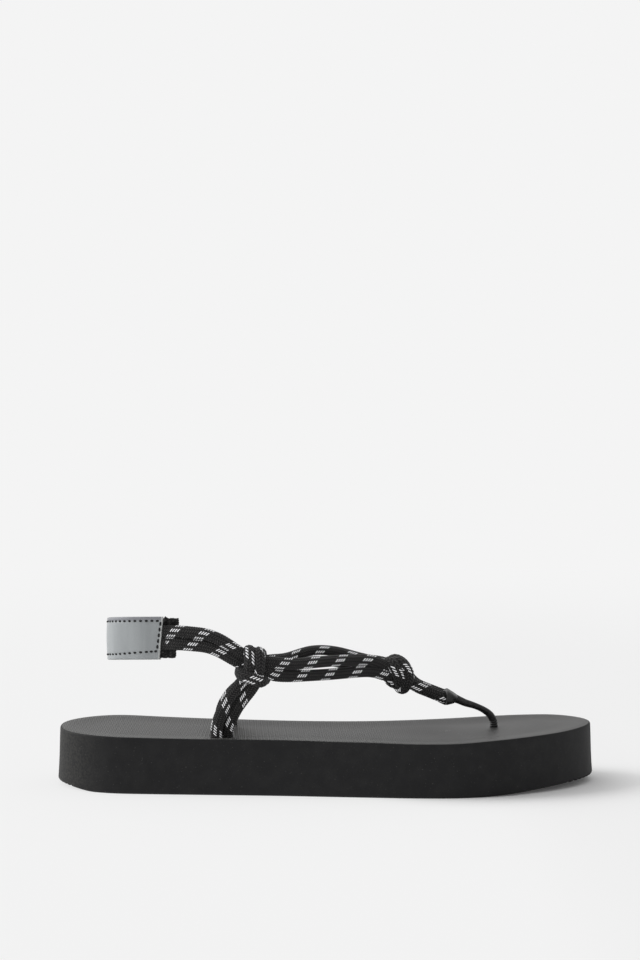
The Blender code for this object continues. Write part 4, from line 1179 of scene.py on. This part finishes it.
# %% Places on the strap
STRAIGHT = STRAP_END_X - STRAP_BEND_X
STRAP_RUN = 2.0 * STRAIGHT + np.pi * STRAP_RADIUS
EDGE_ROUND = 0.6
TOP_SEAM, LOW_SEAM, LOW_SEAM_RISE, LOW_SEAM_REACH = 1.95, 17.5, 1.3, 26.0
END_SEAM_TOP, END_SEAM_LOW = 0.75, 2.2
STITCH_PITCH, END_STITCH_PITCH = 2.6, 2.7
SEAM_DEPTH, SEAM_HALF, SEAM_START, PUCKER = 0.26, 0.5, 0.6, 0.28
SWELL, SWELL_REACH, SWELL_POWER, SOFTNESS = 0.30, 3.0, 0.55, 0.045


def strap_place(run, depth, out):
    """Where a point is: run along the middle line, depth below the top edge, out from the thickness's
    middle. Straight parts mix the slanting end and the bend, and the bend is
    (middle x - r sin a, middle y - r cos a)."""
    run, depth, out = np.broadcast_arrays(*[np.asarray(value, dtype=float) for value in (run, depth, out)])
    from_end = np.minimum(run, STRAP_RUN - run)
    open_share = np.clip(from_end / STRAIGHT, 0.0, 1.0)
    end_x = strap_end_x(depth / STRAP_HEIGHT)
    angle = np.clip((run - STRAIGHT) / STRAP_RADIUS, 0.0, np.pi)
    radius = STRAP_RADIUS + out
    x = end_x + (STRAP_BEND_X - end_x) * open_share - radius * np.sin(angle)
    y = STRAP_MIDDLE - radius * np.cos(angle)
    return np.stack([x, y, STRAP_TOP - depth - strap_drop(y)], axis=-1)


def low_seam(run):
    """Depth of the lower seam: it rises a little towards both ends."""
    return LOW_SEAM - LOW_SEAM_RISE * ease(1.0 - np.minimum(run, STRAP_RUN - run) / LOW_SEAM_REACH)


def end_seam(depth):
    """How far the seam across an end lies from it."""
    return END_SEAM_TOP + (END_SEAM_LOW - END_SEAM_TOP) * depth / STRAP_HEIGHT


def strap_relief(run, depth):
    """Height over the flat cloth: the swell between the seams, less a bell-shaped trough with puckers at
    each seam."""
    from_end = np.minimum(run, STRAP_RUN - run)
    level = np.clip((depth - TOP_SEAM) / (low_seam(run) - TOP_SEAM), 0.0, 1.0)
    inside = ease((from_end - end_seam(depth)) / SWELL_REACH)
    height = SWELL * np.sin(np.pi * level) ** SWELL_POWER * inside
    soft = np.sin(run * 0.42) * np.sin(run * 0.17 + 1.0) + 0.5 * np.sin(depth * 0.5 + run * 0.3)
    height = height + SOFTNESS * soft * np.sin(np.pi * level) * inside
    pucker = 1.0 - PUCKER + PUCKER * np.cos(2.0 * np.pi * run / STITCH_PITCH)
    for away in (depth - TOP_SEAM, depth - low_seam(run)):
        height = height - SEAM_DEPTH * pucker * np.exp(-((away / SEAM_HALF) ** 2))
    across = 1.0 - PUCKER + PUCKER * np.cos(2.0 * np.pi * depth / END_STITCH_PITCH)
    between = ease((depth - TOP_SEAM) / SEAM_START) * ease((low_seam(run) - depth) / SEAM_START)
    trough = np.exp(-(((from_end - end_seam(depth)) / SEAM_HALF) ** 2))
    return height - SEAM_DEPTH * across * trough * between


def edge_fall(distance):
    """How far a rounded edge falls at this distance from it: a quarter circle of EDGE_ROUND."""
    near = np.clip(1.0 - distance / EDGE_ROUND, 0.0, 1.0)
    return EDGE_ROUND * (1.0 - np.sqrt(1.0 - near**2))


print("strap's middle line:", round(STRAP_RUN, 1), "mm")

# %% [markdown]
# Sheets with a thickness share one way of making. A front grid and a back grid of points are joined all
# round by a rim, whose own row of points is pushed out a little so that the edge is round.

# %% A closed sheet from two grids
RIM_PUSH, INNER_RELIEF = 0.12, 0.4


def rim_walk(rows, columns):
    """Grid places round the border, once."""
    top = [(0, column) for column in range(columns)]
    right = [(row, columns - 1) for row in range(1, rows)]
    low = [(rows - 1, column) for column in range(columns - 2, -1, -1)]
    left = [(row, 0) for row in range(rows - 2, 0, -1)]
    return np.array(top + right + low + left)


def closed_sheet(name, front, back, materials, smooth_angle=0.9):
    """Front and back grids (rows, columns, 3) as one closed mesh. Returns it and each point's grid
    place."""
    rows, columns = front.shape[:2]
    walk = rim_walk(rows, columns)
    inner = np.clip(walk, 1, [rows - 2, columns - 2])
    middle = (front[walk[:, 0], walk[:, 1]] + back[walk[:, 0], walk[:, 1]]) / 2.0
    inside = (front[inner[:, 0], inner[:, 1]] + back[inner[:, 0], inner[:, 1]]) / 2.0
    rim_points = middle + unit(middle - inside) * RIM_PUSH
    points = np.concatenate([front.reshape(-1, 3), back.reshape(-1, 3), rim_points])
    squares = grid_faces(rows, columns)
    size = rows * columns
    border = walk[:, 0] * columns + walk[:, 1]
    rim = 2 * size + np.arange(len(walk))
    after, rim_after = np.roll(border, -1), np.roll(rim, -1)
    near = np.stack([border, rim, rim_after, after], axis=1)
    far = np.stack([rim, border + size, after + size, rim_after], axis=1)
    faces = np.concatenate([squares, squares[:, ::-1] + size, near, far])
    row, column = np.divmod(np.arange(size), columns)
    places = np.concatenate([np.stack([row, column], axis=1)] * 2 + [walk])
    return new_piece(name, points, faces, materials, smooth_angle), places


print("border of a 3 by 4 grid:", len(rim_walk(3, 4)), "points")

# %% Small helpers for sheets
def add_map(piece, name, values):
    """A UV map from one pair of values for each point."""
    corners = np.empty(len(piece.data.loops), dtype=np.int32)
    piece.data.loops.foreach_get("vertex_index", corners)
    layer = piece.data.uv_layers.new(name=name)
    layer.data.foreach_set("uv", np.asarray(values, dtype=np.float32)[corners].ravel())


def fine_ends(length, step):
    """Stops from 0 to the length, close together at both ends and otherwise a step apart."""
    start = np.array([0.0, 0.12, 0.3, 0.55])
    even_from = 0.85
    count = int((length - 2.0 * even_from) / step) + 1
    return np.concatenate([start, np.linspace(even_from, length - even_from, count), length - start[::-1]])


def rim_distance(along, length, depth, height):
    """Distance to the nearest of a sheet's four edges."""
    return np.minimum(np.minimum(along, length - along), np.minimum(depth, height - depth))


def faces_out(piece):
    """Flip every face if the closed mesh is inside out, which its signed volume tells."""
    mesh = piece.data
    points = np.empty(len(mesh.vertices) * 3, dtype=np.float32)
    mesh.vertices.foreach_get("co", points)
    points = points.reshape(-1, 3).astype(float)
    mesh.calc_loop_triangles()
    corners = np.empty(len(mesh.loop_triangles) * 3, dtype=np.int32)
    mesh.loop_triangles.foreach_get("vertices", corners)
    a, b, c = points[corners.reshape(-1, 3)].transpose(1, 0, 2)
    volume = (a * np.cross(b, c)).sum() / 6.0
    if volume < 0.0:
        mesh.flip_normals()
    print(piece.name, "holds", round(abs(volume) * 1e9), "cubic mm")


print(len(fine_ends(STRAP_HEIGHT, 0.3)), "stops down the strap")

# %% [markdown]
# The cloth's coat gives a satin grey with a fine weave under it, and small glass beads in such a coat
# send light back, which makes it look evenly pale. The folded margin above the upper seam is a darker grey,
# and the cut edge of the coat shows as a narrow pale line at both ends.

# %% Strap finish and the strap
CLOTH_GREY, CLOTH_LIGHT = (0.345, 0.365, 0.375, 1.0), (0.400, 0.423, 0.432, 1.0)
MARGIN_GREY, EDGE_PALE = (0.27, 0.275, 0.30, 1.0), (0.62, 0.63, 0.62, 1.0)
STREAK_GRAINS, STREAK_SHAPE = 150.0, (1.0, 1.0, 0.12)
STRAP_RUN_STEP, STRAP_DEPTH_STEP = 0.36, 0.30
CUT_EDGE = (0.75, 0.95)
WEAVE_PER_MM, CLOTH_GRAINS, CLOTH_DEPTH = 3.2, 1800.0, 0.00006
UNIT = 100.0


def strap_finish():
    """Satin grey: streaks down the strap, a darker top margin, a pale cut edge and a fine weave."""
    material, inputs, place = new_finish(
        "strap_cloth", roughness=0.42, specular=0.5, sheen=0.15, sheen_roughness=0.4
    )
    from_end, depth = [value * UNIT for value in map_place(material, "cloth")]
    stretch = node_for("Mapping", place)
    stretch.inputs["Scale"].default_value = STREAK_SHAPE
    streaks = noise(Value(stretch.outputs["Vector"]), STREAK_GRAINS, 3.0)
    colour = blend_colours(ramp(streaks, 0.3, 0.7), CLOTH_GREY, CLOTH_LIGHT)
    colour = blend_colours(ramp(depth, TOP_SEAM - 0.5, TOP_SEAM + 0.1, 0.9, 0.0), colour, MARGIN_GREY)
    colour = blend_colours(ramp(from_end, *CUT_EDGE, 0.85, 0.0), colour, EDGE_PALE)
    give(inputs["Base Color"], colour)
    weave = wave(from_end * WEAVE_PER_MM) * wave(depth * WEAVE_PER_MM)
    height = weave * 0.6 + noise(place, CLOTH_GRAINS) * 0.4
    give(inputs["Normal"], bump(height, CLOTH_DEPTH, 0.6))
    give(inputs["Roughness"], ramp(streaks, 0.3, 0.7, 0.38, 0.50))
    return material


def make_strap():
    """The strap as a closed sheet: half the thickness out on both faces, with relief and rounded edges."""
    run = fine_ends(STRAP_RUN, STRAP_RUN_STEP)[:, None]
    depth = fine_ends(STRAP_HEIGHT, STRAP_DEPTH_STEP)[None, :]
    half = STRAP_THICKNESS / 2.0 - edge_fall(rim_distance(run, STRAP_RUN, depth, STRAP_HEIGHT))
    relief = strap_relief(run, depth)
    front = strap_place(run, depth, half + relief)
    back = strap_place(run, depth, -half - INNER_RELIEF * relief)
    strap, places = closed_sheet("heel_strap_dressed", front, back, [strap_finish()])
    faces_out(strap)
    from_end = np.minimum(run, STRAP_RUN - run)[:, 0]
    add_map(strap, "cloth", np.stack([from_end[places[:, 0]], depth[0, places[:, 1]]], axis=1) / UNIT)
    return strap


strap = make_strap()
dress(strap, "strap_grey", "heel_strap")

# %% [markdown]
# The stitches are real thread: each is a short capsule that dips into the trough at both ends. One
# capsule is worked out once, and numpy turns and places all copies in one step, as one joined mesh.

# %% Stitches
THREAD_RADIUS, THREAD_LIFT, THREAD_SAG, THREAD_TIP = 0.50, 0.12, 0.35, 0.12
STITCH_LENGTH, END_STITCH_LENGTH = 1.55, 2.0
END_SEAM_FROM, END_SEAM_TO = 3.3, LOW_SEAM - 1.8
THREAD_COLOUR = (0.008, 0.008, 0.009, 1.0)


def capsule(length, radius, sides=10, rings=9):
    """Points and faces of one thread: along x, round in y and z, sunk at its ends."""
    t = np.linspace(-1.0, 1.0, rings)
    thick = radius * np.sqrt(np.clip(1.0 - np.abs(t) ** 3.0, 0.0, 1.0))
    thick[[0, -1]] = radius * THREAD_TIP
    turn = 2.0 * np.pi * np.arange(sides) / sides
    x = np.repeat(t * length / 2.0, sides)
    y = (thick[:, None] * np.cos(turn)).ravel()
    z = (thick[:, None] * np.sin(turn) - THREAD_SAG * radius * (t**2)[:, None]).ravel()
    return np.stack([x, y, z], axis=1), tube_faces(rings, sides)


def sewn(run, depth, side, along_run):
    """Places and frames of stitches on one face. side: 1 outer face, -1 inner face."""
    def at(r, d):
        relief = strap_relief(r, d) * (1.0 if side > 0 else INNER_RELIEF)
        return strap_place(r, d, side * (STRAP_THICKNESS / 2.0 + THREAD_LIFT + relief))
    small = 0.2
    by_run = at(run + small, depth) - at(run - small, depth)
    by_depth = at(run, depth + small) - at(run, depth - small)
    first = unit(by_run if along_run else by_depth)
    normal = np.cross(by_run, by_depth)
    flat = strap_place(run, depth, side * 2.0) - strap_place(run, depth, 0.0)
    normal = unit(normal * np.sign((normal * flat).sum(axis=1, keepdims=True)))
    normal = unit(normal - first * (normal * first).sum(axis=1, keepdims=True))
    return at(run, depth), np.stack([first, np.cross(normal, first), normal], axis=1)


print("a stitch has", len(capsule(STITCH_LENGTH, THREAD_RADIUS)[1]), "faces")

# %% All the stitches
def thread_finish():
    """Plain black thread with a fine twist."""
    material, inputs, place = new_finish("thread", roughness=0.6, specular=0.35)
    give(inputs["Base Color"], THREAD_COLOUR)
    give(inputs["Normal"], bump(noise(place, 3000.0), 0.0001, 0.5))
    return material


def make_stitches():
    """All seams of the strap as one mesh of capsules."""
    run = np.arange(STITCH_PITCH, STRAP_RUN - STITCH_PITCH / 2.0, STITCH_PITCH)
    depth = np.arange(END_SEAM_FROM, END_SEAM_TO, END_STITCH_PITCH)
    seams = (
        (run, np.full(len(run), TOP_SEAM), STITCH_LENGTH, True),
        (run, low_seam(run), STITCH_LENGTH, True),
        (end_seam(depth), depth, END_STITCH_LENGTH, False),
        (STRAP_RUN - end_seam(depth), depth, END_STITCH_LENGTH, False),
    )
    points, faces, first = [], [], 0
    for at_run, at_depth, length, along_run in seams:
        shape, shape_faces = capsule(length, THREAD_RADIUS)
        for side in (1.0, -1.0):
            centres, frames = sewn(at_run, at_depth, side, along_run)
            copies = centres[:, None, :] + np.einsum("pk,nkd->npd", shape, frames)
            points.append(copies.reshape(-1, 3))
            for number in range(len(centres)):
                faces += [first + number * len(shape) + face for face in shape_faces]
            first += len(centres) * len(shape)
    return new_piece("strap_stitches", np.concatenate(points), faces, [thread_finish()])


stitches = make_stitches()
dress(stitches, "tab_black")

# %% [markdown]
# ## The tabs
# At each end of the strap a black tab of thick felted webbing is sewn inside, and carries the pressed
# ends of both cords. Its face is a coarse weave of short slanting floats, its edges are rough, and its
# upper corner turns up beside the strap's end.

# %% Sizes and weave of the tabs
TAB_GRID, TAB_SPREAD = 0.2, 0.8
TAB_RAGGED_END, TAB_RAGGED_SIDES, RAGGED_REACH = 0.22, 0.18, 1.2
TAB_CORNER_OUT, TAB_CORNER_UP, TAB_CORNER_SIZE = 1.1, 0.9, (0.9, 1.6)
FLOAT_PITCH, FLOAT_ROW, FLOAT_RELIEF, BACK_RELIEF = 1.9, 1.45, 0.27, 0.12
SHOWN_FROM, SHOWN_OVER, CORNER_MIDDLE = 0.4, 0.6, 0.9
TAB_BLACK, TAB_FLOAT_PALE = (0.0075, 0.0075, 0.008, 1.0), (0.16, 0.155, 0.15, 1.0)


def rough_line(at, seed):
    """A ragged line: a few sines whose lengths share no common measure."""
    waves = ((0.45, 2.1, 1.0), (0.35, 4.7, 2.0), (0.2, 9.3, 1.0))
    return sum(size * np.sin(at * often + shift * seed) for size, often, shift in waves)


def floats(x, depth):
    """Short slanting floats, staggered from row to row."""
    row = np.floor(depth / FLOAT_ROW)
    across = np.sin(np.pi * (depth / FLOAT_ROW % 1.0)) ** 0.7
    slanted = x + 0.7 * depth + row * 0.43 * FLOAT_PITCH
    along = (0.5 + 0.5 * np.cos(2.0 * np.pi * slanted / FLOAT_PITCH)) ** 0.6
    return across * along


print("a float in the middle of its row:", round(float(floats(0.0, 0.7)), 2))

# %% The tabs
def tab_finish():
    """Near black webbing: the tops of the floats are painted paler, in patches."""
    material, inputs, place = new_finish("tab_webbing", roughness=0.85, specular=0.25, sheen=0.10)
    top, pale_patches = map_place(material, "floats")
    fuzz = noise(place, 2400.0, 3.0)
    give(inputs["Base Color"], blend_colours(top * pale_patches * ramp(fuzz, 0.35, 0.7), TAB_BLACK, TAB_FLOAT_PALE))
    give(inputs["Normal"], bump(fuzz, 0.0004, 0.8))
    return material


def make_dressed_tab(name, sign, material):
    """A closed sheet in the tab's place. sign: -1 outer, 1 inner. The outside carries the relief."""
    below = fine_ends(TAB_HEIGHT, TAB_GRID)[:, None]
    along = fine_ends(TAB_LENGTH, TAB_GRID)[None, :]
    depth = (STRAP_HEIGHT - TAB_HEIGHT) / 2.0 + below
    edge = rim_distance(along, TAB_LENGTH, below, TAB_HEIGHT)
    near_end = ease((along - TAB_LENGTH + RAGGED_REACH) / RAGGED_REACH)
    near_side = ease(1.0 - np.minimum(below, TAB_HEIGHT - below) / RAGGED_REACH)
    x = strap_end_x(depth / STRAP_HEIGHT) + TAB_REACH - TAB_LENGTH + along
    x = x + (TAB_SPREAD + TAB_RAGGED_END * rough_line(depth, 1.0 + sign)) * near_end
    outwards = np.where(depth < STRAP_HEIGHT / 2.0, 1.0, -1.0)
    deep = depth + TAB_RAGGED_SIDES * rough_line(along + sign, 3.0) * outwards * near_side
    pattern = floats(x, depth)
    shown_along = along - (TAB_LENGTH - TAB_REACH)
    shown = ease((shown_along - SHOWN_FROM) / SHOWN_OVER)
    corner_x = (shown_along - CORNER_MIDDLE) / TAB_CORNER_SIZE[0]
    corner_z = below / TAB_CORNER_SIZE[1]
    corner = np.exp(-(corner_x**2) - corner_z**2)
    relief = FLOAT_RELIEF * (pattern - 0.5) + TAB_CORNER_OUT * corner
    front_radius = TAB_FACE - edge_fall(edge) + shown * relief
    back_radius = TAB_FACE - TAB_THICKNESS + edge_fall(edge) + BACK_RELIEF * pattern
    z = STRAP_TOP - deep - strap_drop(STRAP_MIDDLE + sign * TAB_FACE) + TAB_CORNER_UP * corner * shown
    front, back = [
        np.stack(np.broadcast_arrays(x, STRAP_MIDDLE + sign * radius, z), axis=-1)
        for radius in (front_radius, back_radius)
    ]
    tab, places = closed_sheet(name, front, back, [material])
    faces_out(tab)
    pale_patches = 0.5 + 0.5 * np.sin(x * 1.7 + depth * 0.6) * np.sin(depth * 1.1 - x * 0.4)
    add_map(tab, "floats", np.stack([pattern, pale_patches], axis=-1)[places[:, 0], places[:, 1]])
    return tab


tab_material = tab_finish()
for side_name, sign in (("outer", -1.0), ("inner", 1.0)):
    dress(make_dressed_tab("tab_" + side_name, sign, tab_material), "tab_black", "heel_tab_" + side_name)

# %% [markdown]
# ## The thong
# The toe thong is one slim moulding of firm rubber. Its head is an angular cap that holds the turn of the
# toe loop. The stem is thinnest behind the head, stands up out of the footbed with a few moulded ribs,
# and ends in a round button under the sole. The head's outline is a rounded polygon: the distance of each
# side and the direction that it faces are joined by a p-norm, which rounds the corners.

# %% Thong shapes
THONG_ROUTE = [
    (62.8, 1.7, 39.0), (66.0, 2.4, 37.5), (70.8, 3.8, 35.8), (75.2, 5.4, 33.6), (78.4, 6.9, 31.0),
    (79.9, 7.7, 28.4),
]
THONG_WAIST = 0.80
THONG_BLACK, THONG_RUBBED = (0.009, 0.009, 0.0095, 1.0), (0.030, 0.030, 0.030, 1.0)
CAP_SIDES = [
    # direction that the side faces, in degrees from the toe upwards, and its distance from the middle
    (57.0, 3.15), (-27.0, 3.70), (-76.0, 3.05), (-125.0, 3.4), (180.0, 1.7), (112.0, 3.55),
]
LOBE_SIDES = [(57.0, 2.9), (-27.0, 3.2), (-72.0, 3.1), (-116.0, 4.05), (180.0, 5.2), (112.0, 3.0)]
CAP_ROUND = 18.0
CAP_ACROSS, LOBE_ACROSS = (-6.6, 9.3), (-2.6, 5.4)
HEAD_RINGS, HEAD_SIDES, STEM_STEP, STEM_SIDES, BUTTON_SIDES = 41, 96, 0.14, 28, 64
STEM_FULLNESS, STEM_WAIST_AT, STEM_WAIST_REACH = 1.08, 0.28, 0.13
STEM_RIB_PITCH, STEM_RIB_RELIEF, STEM_RIB_REACH = 1.15, 0.20, 5.0
STEM_ROOT, STEM_ROOT_REACH = 0.35, 0.05
HEAD_END, HEAD_POWER, HEAD_ROUND = 0.22, 5.0, 2.2


def cap_radius(angle, sides):
    """Distance to the head's outline: 1 / the p-norm of cos(angle - side) / distance over the sides."""
    facing, distance = np.array(sides).T
    lean = np.cos(angle[:, None] - np.radians(facing)) / distance
    return (np.clip(lean, 0.0, None) ** CAP_ROUND).sum(axis=1) ** (-1.0 / CAP_ROUND)


def closed_rings(rings):
    """Points and faces of rings joined one after another, with one face across each end."""
    return rings.reshape(-1, 3), tube_faces(*rings.shape[:2])


def thong_head(outline_sides, reach):
    """One part of the head: its outline carried across the foot, drawn in at both ends as a
    superellipse."""
    across = np.sin(np.linspace(-np.pi / 2.0, np.pi / 2.0, HEAD_RINGS))
    size = HEAD_END + (1.0 - HEAD_END) * (1.0 - np.abs(across) ** HEAD_POWER) ** (1.0 / HEAD_ROUND)
    angle = np.linspace(0.0, 2.0 * np.pi, HEAD_SIDES, endpoint=False)
    radius = cap_radius(angle, outline_sides)
    y = (reach[0] + reach[1]) / 2.0 + across * (reach[1] - reach[0]) / 2.0
    x = THONG_LOOP_CENTRE[0] + size[:, None] * (radius * np.cos(angle))[None, :]
    z = THONG_LOOP_CENTRE[2] + size[:, None] * (radius * np.sin(angle))[None, :]
    return closed_rings(np.stack(np.broadcast_arrays(x, y[:, None], z), axis=-1))


print("cap:", len(thong_head(CAP_SIDES, CAP_ACROSS)[0]), "points")

# %% Stem and button
def thong_stem():
    """The stem: a round tube from inside the head to inside the button, with ribs where it leaves the
    footbed."""
    x, y = THONG_HOLE
    top = footbed_height(x, y)
    start = (THONG_LOOP_CENTRE[0] + 2.0, THONG_LOOP_CENTRE[1], THONG_LOOP_CENTRE[2] - 0.2)
    down = [(x, y, top), (x, y, top / 2.0), (x, y, BUTTON_RECESS + 0.8)]
    route = even_route([start, *THONG_ROUTE, *down], STEM_STEP)
    run = run_along(route)
    share = run / run[-1]
    slim = 1.0 - (1.0 - THONG_WAIST) * np.exp(-(((share - STEM_WAIST_AT) / STEM_WAIST_REACH) ** 2))
    above = route[:, 2] - top
    ribbed = ease(1.0 - np.abs(above - STEM_RIB_REACH * 0.45) / (STEM_RIB_REACH * 0.6))
    ribs = STEM_RIB_RELIEF * ribbed * np.cos(2.0 * np.pi * run / STEM_RIB_PITCH)
    radius = STEM_FULLNESS * THONG_DIAMETER / 2.0 * slim + ribs
    radius = radius + STEM_ROOT * np.exp(-((share / STEM_ROOT_REACH) ** 2))
    return closed_rings(tube(route, np.repeat(radius[:, None], STEM_SIDES, axis=1))[::-1])


def thong_button():
    """The button: a turned disc with round edges and a shallow dished face."""
    x, y = THONG_HOLE
    top = BUTTON_THICKNESS
    profile = np.array([
        # share of the radius, height
        (0.3, 0.5), (0.55, 0.42), (0.70, 0.05), (0.93, 0.0), (0.985, 0.12), (1.0, 0.4),
        (1.0, top - 0.4), (0.985, top - 0.12), (0.93, top), (0.4, top),
    ])
    turn = np.linspace(0.0, 2.0 * np.pi, BUTTON_SIDES, endpoint=False)
    radius = BUTTON_DIAMETER / 2.0 * profile[:, :1]
    rings = np.broadcast_arrays(
        x + radius * np.cos(turn), y + radius * np.sin(turn), BUTTON_RECESS + profile[:, 1:]
    )
    return closed_rings(np.stack(rings, axis=-1))


print("stem:", len(thong_stem()[0]), "points, button:", len(thong_button()[0]))

# %% Finish and joining
def thong_finish():
    """Satin black rubber: a fine mould grain, and duller and paler in patches."""
    material, inputs, place = new_finish("thong_rubber_dressed", roughness=0.42, specular=0.5)
    patches = noise(place, 420.0, 3.0)
    give(inputs["Base Color"], blend_colours(ramp(patches, 0.4, 0.7), THONG_BLACK, THONG_RUBBED))
    give(inputs["Roughness"], ramp(patches, 0.3, 0.7, 0.34, 0.52))
    give(inputs["Normal"], bump(noise(place, 2200.0, 3.0), 0.00012, 0.5))
    return material


def make_thong():
    """Head, stem and button joined as one exact solid."""
    material = thong_finish()
    thong = new_piece("toe_thong_dressed", *thong_stem(), [material])
    faces_out(thong)
    cap, lobe = thong_head(CAP_SIDES, CAP_ACROSS), thong_head(LOBE_SIDES, LOBE_ACROSS)
    for name, shape in (("cap", cap), ("lobe", lobe), ("button", thong_button())):
        helper = new_piece(name, *shape, [material])
        faces_out(helper)
        step = thong.modifiers.new(name, "BOOLEAN")
        step.operation = "UNION"
        step.solver = "EXACT"
        step.object = helper
    settled_mesh(thong)
    for name in ("cap", "lobe", "button"):
        bpy.data.objects.remove(bpy.data.objects[name], do_unlink=True)
    thong.data.shade_smooth()
    thong.data.set_sharp_from_angle(angle=0.6)
    return thong


thong = make_thong()
dress(thong, "thong_rubber", "toe_thong")
